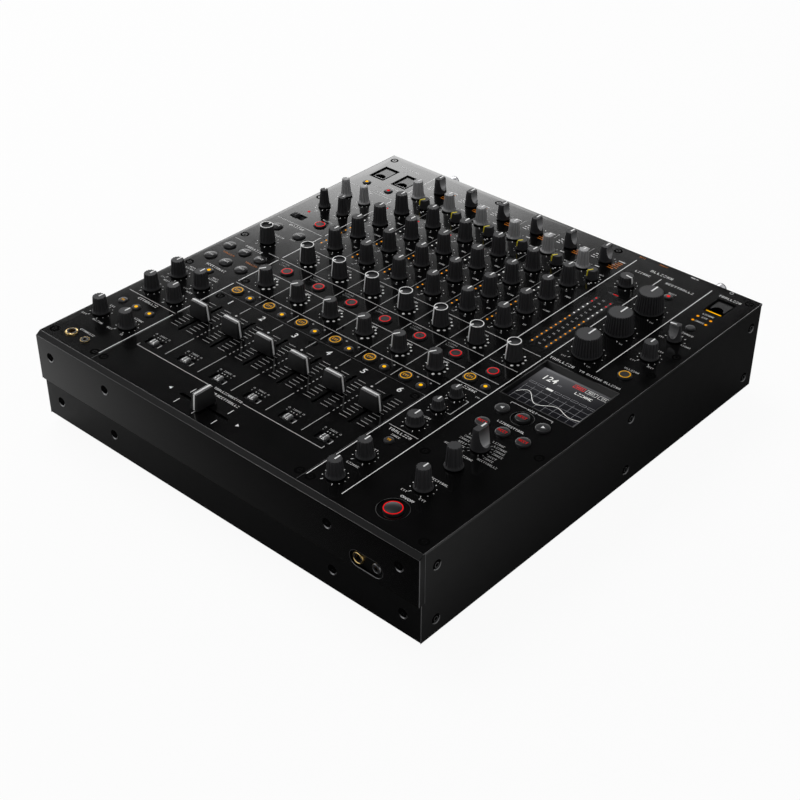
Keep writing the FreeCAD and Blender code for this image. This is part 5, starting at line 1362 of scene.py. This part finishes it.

# %% [markdown]
# Each screw gets the rings that show how it sits, with painted light and shade. On the panel a black ring about
# a glossy head is painted shade in the well, with a black disc for the drive. On the front and the sides a
# black disc is painted shade in the countersink, and a bright cup has a lip that is a painted highlight, where
# light catches the lower wall; on the sides a pale ring inside it is a painted highlight too. The cup is spun,
# and then its lip fades out round the top.

# %% Screw rings
SCREW_SUNK = 0.1
# The side towards which the cup's painted highlight leans.
LIP_DOWN = Vector((0.35, -0.94))
well = ring(3.9, 2.3, -0.1, SCREW_SUNK + 0.04, 36)
gloss = ring(2.3, 0.9, -0.1, SCREW_SUNK + 0.03, 32)
drive = lathe([(0, 0), (0.9, 0), (0.9, SCREW_SUNK + 0.04), (0, SCREW_SUNK + 0.04), (0, 0)], 24)
sink = ring(4.2, 1.3, 0, SCREW_SUNK + 0.03, 36)
eye = ring(2.2, 1.5, 0, SCREW_SUNK + 0.05, 32)
cup = lathe([(3.0, 0), (4.0, 0.7), (4.35, 0.3), (4.35, 0), (3.0, 0)], 36)
for vert in cup.verts:
    vert.co.z *= max(0.0, LIP_DOWN.dot(vert.co.xy) / vert.co.xy.length)
ON_PANEL = (well, GAP), (gloss, PANEL), (drive, GAP)
ON_FRONT = (sink, GAP), (cup, CUP)
ON_SIDE = (sink, GAP), (eye, EDGE), (cup, GLEAM)
screw_rings = Piece("screw_rings", GAP, CUP, PANEL, EDGE, GLEAM)
for middle, outward in heads:
    upright = outward.to_track_quat("Z", "Y").to_matrix().to_4x4()
    for shape, material in ON_PANEL if outward.z > 0.5 else ON_FRONT if outward.y < -0.5 else ON_SIDE:
        mesh = bpy.data.meshes.new("ring")
        shape.to_mesh(mesh)
        mesh.transform(upright)
        screw_rings.take_mesh(mesh, material, *middle)
screw_rings.place("chassis", "steel")
print("screw rings laid")

# %% [markdown]
# The panel is folded at the front and open at the corners. A matt strip of a paler black covers the slope of
# the fold, as painted light on the lit slope. Pale beads run along both its edges as painted highlights, and
# strips at the corners carry pale lines, painted highlights on the sheet edges. Along the sides, the right edge
# gets a pale bead, a painted highlight, and the left a black one, painted shade. Bevelling the CAD mesh would
# change the frame, so all of these are thin pieces laid on it.

# %% Folds and corners
FOLD_Y, FOLD_Z, SKIRT_LOW = 4.1, 3.0, -44.5
CORNER_D, STRIP_W = 5.7, 0.4
HALF_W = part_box("top_panel")[1].x / MM
TRAY_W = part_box("bottom_tray")[1].x / MM
TRAY_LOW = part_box("side_panels")[0].z / MM - PANEL_Z
folds = Piece("folded_edges", EDGE, CASE, GAP, FOLD, GLEAM)
slope = block(2 * HALF_W - 0.4, math.hypot(FOLD_Y, FOLD_Z) - 0.6, -0.1, 0.03)
tilt = Matrix.Rotation(math.atan2(FOLD_Z, FOLD_Y), 3, "X")
bmesh.ops.rotate(slope, cent=(0, 0, 0), matrix=tilt, verts=slope.verts)
# The fold's strip is a paler black: painted light on the lit slope.
folds.take(slope, FOLD, 0, FRONT_Y + FOLD_Y / 2, -FOLD_Z / 2)
# Pale beads along the fold's two edges: painted highlights.
for y, z, thick in ((FRONT_Y, -FOLD_Z, 0.4), (FRONT_Y + FOLD_Y, 0, 0.3)):
    folds.take(block(2 * HALF_W - 0.2, thick, 0.1 - thick, 0.1, 0.4 * thick), EDGE, 0, y + 0.1, z)
for side in (-1, 1):
    corner = block(STRIP_W, CORNER_D, SKIRT_LOW, 0, 0.1)
    for vert in corner.verts:
        if vert.co.z > -1 and vert.co.y < 0:
            vert.co.z -= FOLD_Z
    folds.take(corner, CASE, side * HALF_W, FRONT_Y + CORNER_D / 2)
    for y, high, wide in ((FRONT_Y + 0.2, -FOLD_Z, 0.7), (FRONT_Y + CORNER_D, 0, 0.3)):
        # Pale lines at the corners and at the tray's corners: painted highlights on the sheet edges.
        folds.take(block(STRIP_W, wide, SKIRT_LOW, high, 0.12), GLEAM, side * (HALF_W + 0.1), y)
    folds.take(block(STRIP_W, 0.5, TRAY_LOW, SKIRT_LOW, 0.12), GLEAM, side * TRAY_W, TRAY_Y + 0.25)
    bead = block(0.35, 2 * REAR_Y - FOLD_Y, -0.2, 0.05, 0.08)
    # The right bead is a painted highlight; the left one, black, is painted shade.
    folds.take(bead, EDGE if side > 0 else GAP, side * (HALF_W - 0.15), FOLD_Y / 2)
print("half width of tray", round(TRAY_W, 2), "and of panel", round(HALF_W, 2))

# %% [markdown]
# Two effect keys stand in a shallow dish with a raised edge, and the fader plate shows a hairline seam where
# it meets the panel. A spun ring and three bars are enough for that.

# %% Dishes and seams
SEAM_W, SEAM_LOW, SEAM_HIGH = 0.3, -0.2, 0.02
for radius, y in ((8.85, FX_KEY_ROWS[0]), (11.8, FX_ON_Y)):
    dish = lathe([(radius - 0.1, 0), (radius + 0.1, 0.12), (radius + 0.35, 0), (radius - 0.1, 0)], 56)
    folds.take(dish, CASE, FX_X, y)
(plate_left, plate_front), (plate_right, plate_rear) = [
    (corner.x / MM, corner.y / MM - CASE_Y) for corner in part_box("fader_plate")]
plate_x, plate_y = (plate_left + plate_right) / 2, (plate_front + plate_rear) / 2
# The seam's bars take the pale edge paint, a painted highlight along the seam.
folds.take(block(plate_right - plate_left, SEAM_W, SEAM_LOW, SEAM_HIGH), EDGE, plate_x, plate_rear)
for x in (plate_left, plate_right):
    folds.take(block(SEAM_W, plate_rear - plate_front, SEAM_LOW, SEAM_HIGH), EDGE, x, plate_y)
folds.place("chassis", "panel")
print("fader plate", round(plate_right - plate_left, 1), "by", round(plate_rear - plate_front, 1), "mm")

# %% [markdown]
# The data bays get their lids, each with a round notch for a finger. A Boolean could cut the notch, but one
# face that is drawn with it and extruded has cleaner edges.

# %% Bay lids
LID_T, LID_Z = 0.25, -1.19
NOTCH_STEPS = 14


def lid(width, depth, notch_r):
    """A plate whose front edge lies on Y 0 and has a round notch."""
    shape = bmesh.new()
    arc = [math.pi * i / NOTCH_STEPS for i in range(NOTCH_STEPS + 1)]
    outline = [(-width / 2, 0), (-width / 2, depth), (width / 2, depth), (width / 2, 0)]
    outline += [(notch_r * math.cos(a), notch_r * math.sin(a)) for a in arc]
    face = shape.faces.new([shape.verts.new((x, y, 0)) for x, y in outline])
    made = bmesh.ops.extrude_face_region(shape, geom=[face])["geom"]
    upper = [part for part in made if isinstance(part, bmesh.types.BMVert)]
    bmesh.ops.translate(shape, vec=(0, 0, LID_T), verts=upper)
    bmesh.ops.recalc_face_normals(shape, faces=shape.faces)
    return shape


lids = Piece("bay_lids", LID, MID)
for x in (-185.6, -158.3):
    lids.take(lid(14.6, 17.4, 5.6), LID, x, 172.2, LID_Z)
    for y in (169.4, 171.0):
        lids.take(block(14.2, 0.45, -1.3, -1.0), MID, x, y)
lids.take(lid(15.0, 14.6, 5.2), LID, 182.0, 181.2, LID_Z)
lids.place("chassis", "panel")
print("bay lids", 3)

# %% [markdown]
# ## Floor and backdrop
# The studio is white. The floor glows for the camera, so that it stays white, and keeps a share of plain
# diffuse paint, so that the mixer's shadow still falls on it. Light Path tells which kind of ray asks.

# %% Floor
FLOOR_HALF = 30
FLOOR_SEEN, FLOOR_MIRRORED = 0.94, 0.05


def ray_kinds(start):
    """Light Path's camera, glossy and transmission outputs: 1 for such a ray, else 0."""
    outputs = start.node("LightPath").socket.node.outputs
    return [Flow(start.tree, outputs["Is %s Ray" % kind]) for kind in ("Camera", "Glossy", "Transmission")]


def sheet(name, x0, x1, y0, y1, z, material):
    """A flat sheet of the studio, which is no part of the mixer."""
    shape = bmesh.new()
    bmesh.ops.create_grid(shape, x_segments=1, y_segments=1, size=0.5)
    bmesh.ops.scale(shape, vec=(x1 - x0, y1 - y0, 1), verts=shape.verts)
    bmesh.ops.translate(shape, vec=((x0 + x1) / 2, (y0 + y1) / 2, z), verts=shape.verts)
    mesh = bpy.data.meshes.new(name)
    shape.to_mesh(mesh)
    shape.free()
    mesh.materials.append(material)
    made = show(name, mesh)
    return made


def studio_material(name):
    """A new material and the start of its node tree."""
    material = bpy.data.materials.new(name)
    material.use_nodes = True
    return material, Flow(material.node_tree)


white_paint, start = studio_material("white_floor")
seen, glossy, through = ray_kinds(start)
matt = start.node("BsdfDiffuse", None, {"Color": (0.8, 0.8, 0.8, 1)})
glow = start.node("Emission", None, {"Color": (1, 1, 1, 1), "Strength": 1.0})
lit = FLOOR_SEEN * seen + FLOOR_MIRRORED * glossy + FLOOR_SEEN * through
surface = start.node("MixShader", None, {0: lit, 1: matt, 2: glow})
surface.feed(start.tree.nodes["Material Output"].inputs["Surface"])
sheet("floor", -FLOOR_HALF, FLOOR_HALF, -FLOOR_HALF, FLOOR_HALF, 0, white_paint)
print("floor laid")

# %% [markdown]
# The world is white for the camera and, up to about twenty-five degrees above the horizon, for reflections: a
# black panel needs a dark ceiling to look black. For diffuse light it gives an even, weak fill.

# %% World
WHITE_TO, DARK_FROM = 0.42, 0.472
FILL, CEILING = 0.3, 0.012
world = bpy.data.worlds.new("studio")
bpy.context.scene.world = world
world.use_nodes = True
start = Flow(world.node_tree)
seen, glossy, through = ray_kinds(start)
height = start.node("SeparateXYZ", None, {"Vector": start.node("TexCoord")}, 2)
low = start.node("MapRange", {"interpolation_type": "SMOOTHSTEP"}, {
    "Value": height, "From Min": WHITE_TO, "From Max": DARK_FROM, "To Min": 1.0, "To Max": 0.0})
strength = seen + through + glossy * low + (1 - glossy) * FILL + CEILING
back = start.tree.nodes["Background"]
back.inputs["Color"].default_value = (1, 1, 1, 1)
start.math("MINIMUM", strength, 1.0).feed(back.inputs["Strength"])
print("world is white to the camera")

# %% [markdown]
# ## Lamps and camera
# Four soft lamps: a key overhead on the left, a weak fill at the front left, a wide low box behind the left
# corner, and a weak fill on the right. The panel mirrors the wide box as a grey sheen in its far corner.

# %% Studio lamps
PANEL_MIDDLE = Vector((0, CASE_Y, PANEL_Z)) * MM


def softbox(name, place, wide, tall, power):
    """A rectangular lamp that faces the middle of the panel."""
    light = bpy.data.lights.new(name, "AREA")
    light.shape = "RECTANGLE"
    light.size, light.size_y, light.energy = wide, tall, power
    held = show(name, light)
    held.location = place
    held.rotation_euler = (PANEL_MIDDLE - Vector(place)).to_track_quat("-Z", "Y").to_euler()


softbox("key_left", (-0.95, 0.1, 2.1), 1.0, 1.0, 20)
softbox("front_fill", (-1.5, -1.0, 0.9), 1.2, 1.2, 4)
softbox("rear_sheen", (-2.2, 2.0, 0.95), 3.4, 1.15, 38)
softbox("right_fill", (1.5, -0.3, 1.3), 1.0, 1.0, 2)
print("lamps", len(bpy.data.lights))

# %% [markdown]
# A black card lies on the floor before the right front corner. Only reflections show it: it is painted shade,
# standing for the mixer's shadow on the floor where the glossy front and side mirror it, and it keeps them
# dark. It fades out to the left and to the rear right, so that the front and the side keep a soft gradient.

# %% Black card
CARD_X, CARD_Y, CARD_Z = (-0.5, 1.2), (-1.2, 0.9), 0.001
FRONT_FADE, FRONT_FADE_X = -6.5, 0.30
SIDE_FADE, SIDE_FADE_Y, SIDE_LEAST = -6.7, 0.125, 0.06


def ramp(start, value, from_min, from_max, to_min=0.0, to_max=1.0):
    """A straight change between two values, held at its ends."""
    return start.node("MapRange", None, {"Value": value, "From Min": from_min, "From Max": from_max,
                                         "To Min": to_min, "To Max": to_max})


floor_shadow_card, start = studio_material("floor_shadow_card")
place = start.node("TexCoord", out=3)
across, along = (start.node("SeparateXYZ", None, {"Vector": place}, axis) for axis in (0, 1))
at_front = math.e ** ((across + FRONT_FADE_X) * FRONT_FADE) * ramp(start, along, -0.3, -0.225, 0.48, 1.3)
at_side = math.e ** ((along + SIDE_FADE_Y) * SIDE_FADE) * ramp(start, across, 0.21, 0.28, 0.15, 0.6)
beside = ramp(start, across, 0.2, 0.208)
cover = 1 - start.math("MINIMUM", at_front + beside * (at_side + SIDE_LEAST), 1.0)
surface = start.node("MixShader", None, {
    0: cover, 1: start.node("BsdfTransparent"), 2: start.node("Emission", None, {"Strength": 0.0})})
surface.feed(start.tree.nodes["Material Output"].inputs["Surface"])
card = sheet("floor_shadow_card", *CARD_X, *CARD_Y, CARD_Z, floor_shadow_card)
card.visible_camera = card.visible_diffuse = card.visible_transmission = card.visible_shadow = False
print("card laid")

# %% [markdown]
# The camera's place, direction and lens were fitted to points of the photograph, so that a render can be laid
# over it. The fitted axes go straight into the camera's matrix, without a detour over angles.

# %% Camera
EYE = (0.70260, -0.79597, 0.75009)
RIGHT, UP, AHEAD = (0.74382, 0.66837, 0.00255), (-0.38608, 0.42655, 0.81792), (-0.54559, 0.60937, -0.57533)
optics = bpy.data.cameras.new("photo_camera")
optics.sensor_width = 36
optics.lens = 68.94
optics.clip_start, optics.clip_end = 0.01, 100
camera = show("photo_camera", optics)
rows = [(RIGHT[i], UP[i], -AHEAD[i], EYE[i]) for i in range(3)]
camera.matrix_world = Matrix((*rows, (0, 0, 0, 1)))
bpy.context.scene.camera = camera
bpy.context.scene.view_settings.view_transform = "Standard"
print("camera", [round(v, 3) for v in camera.location])
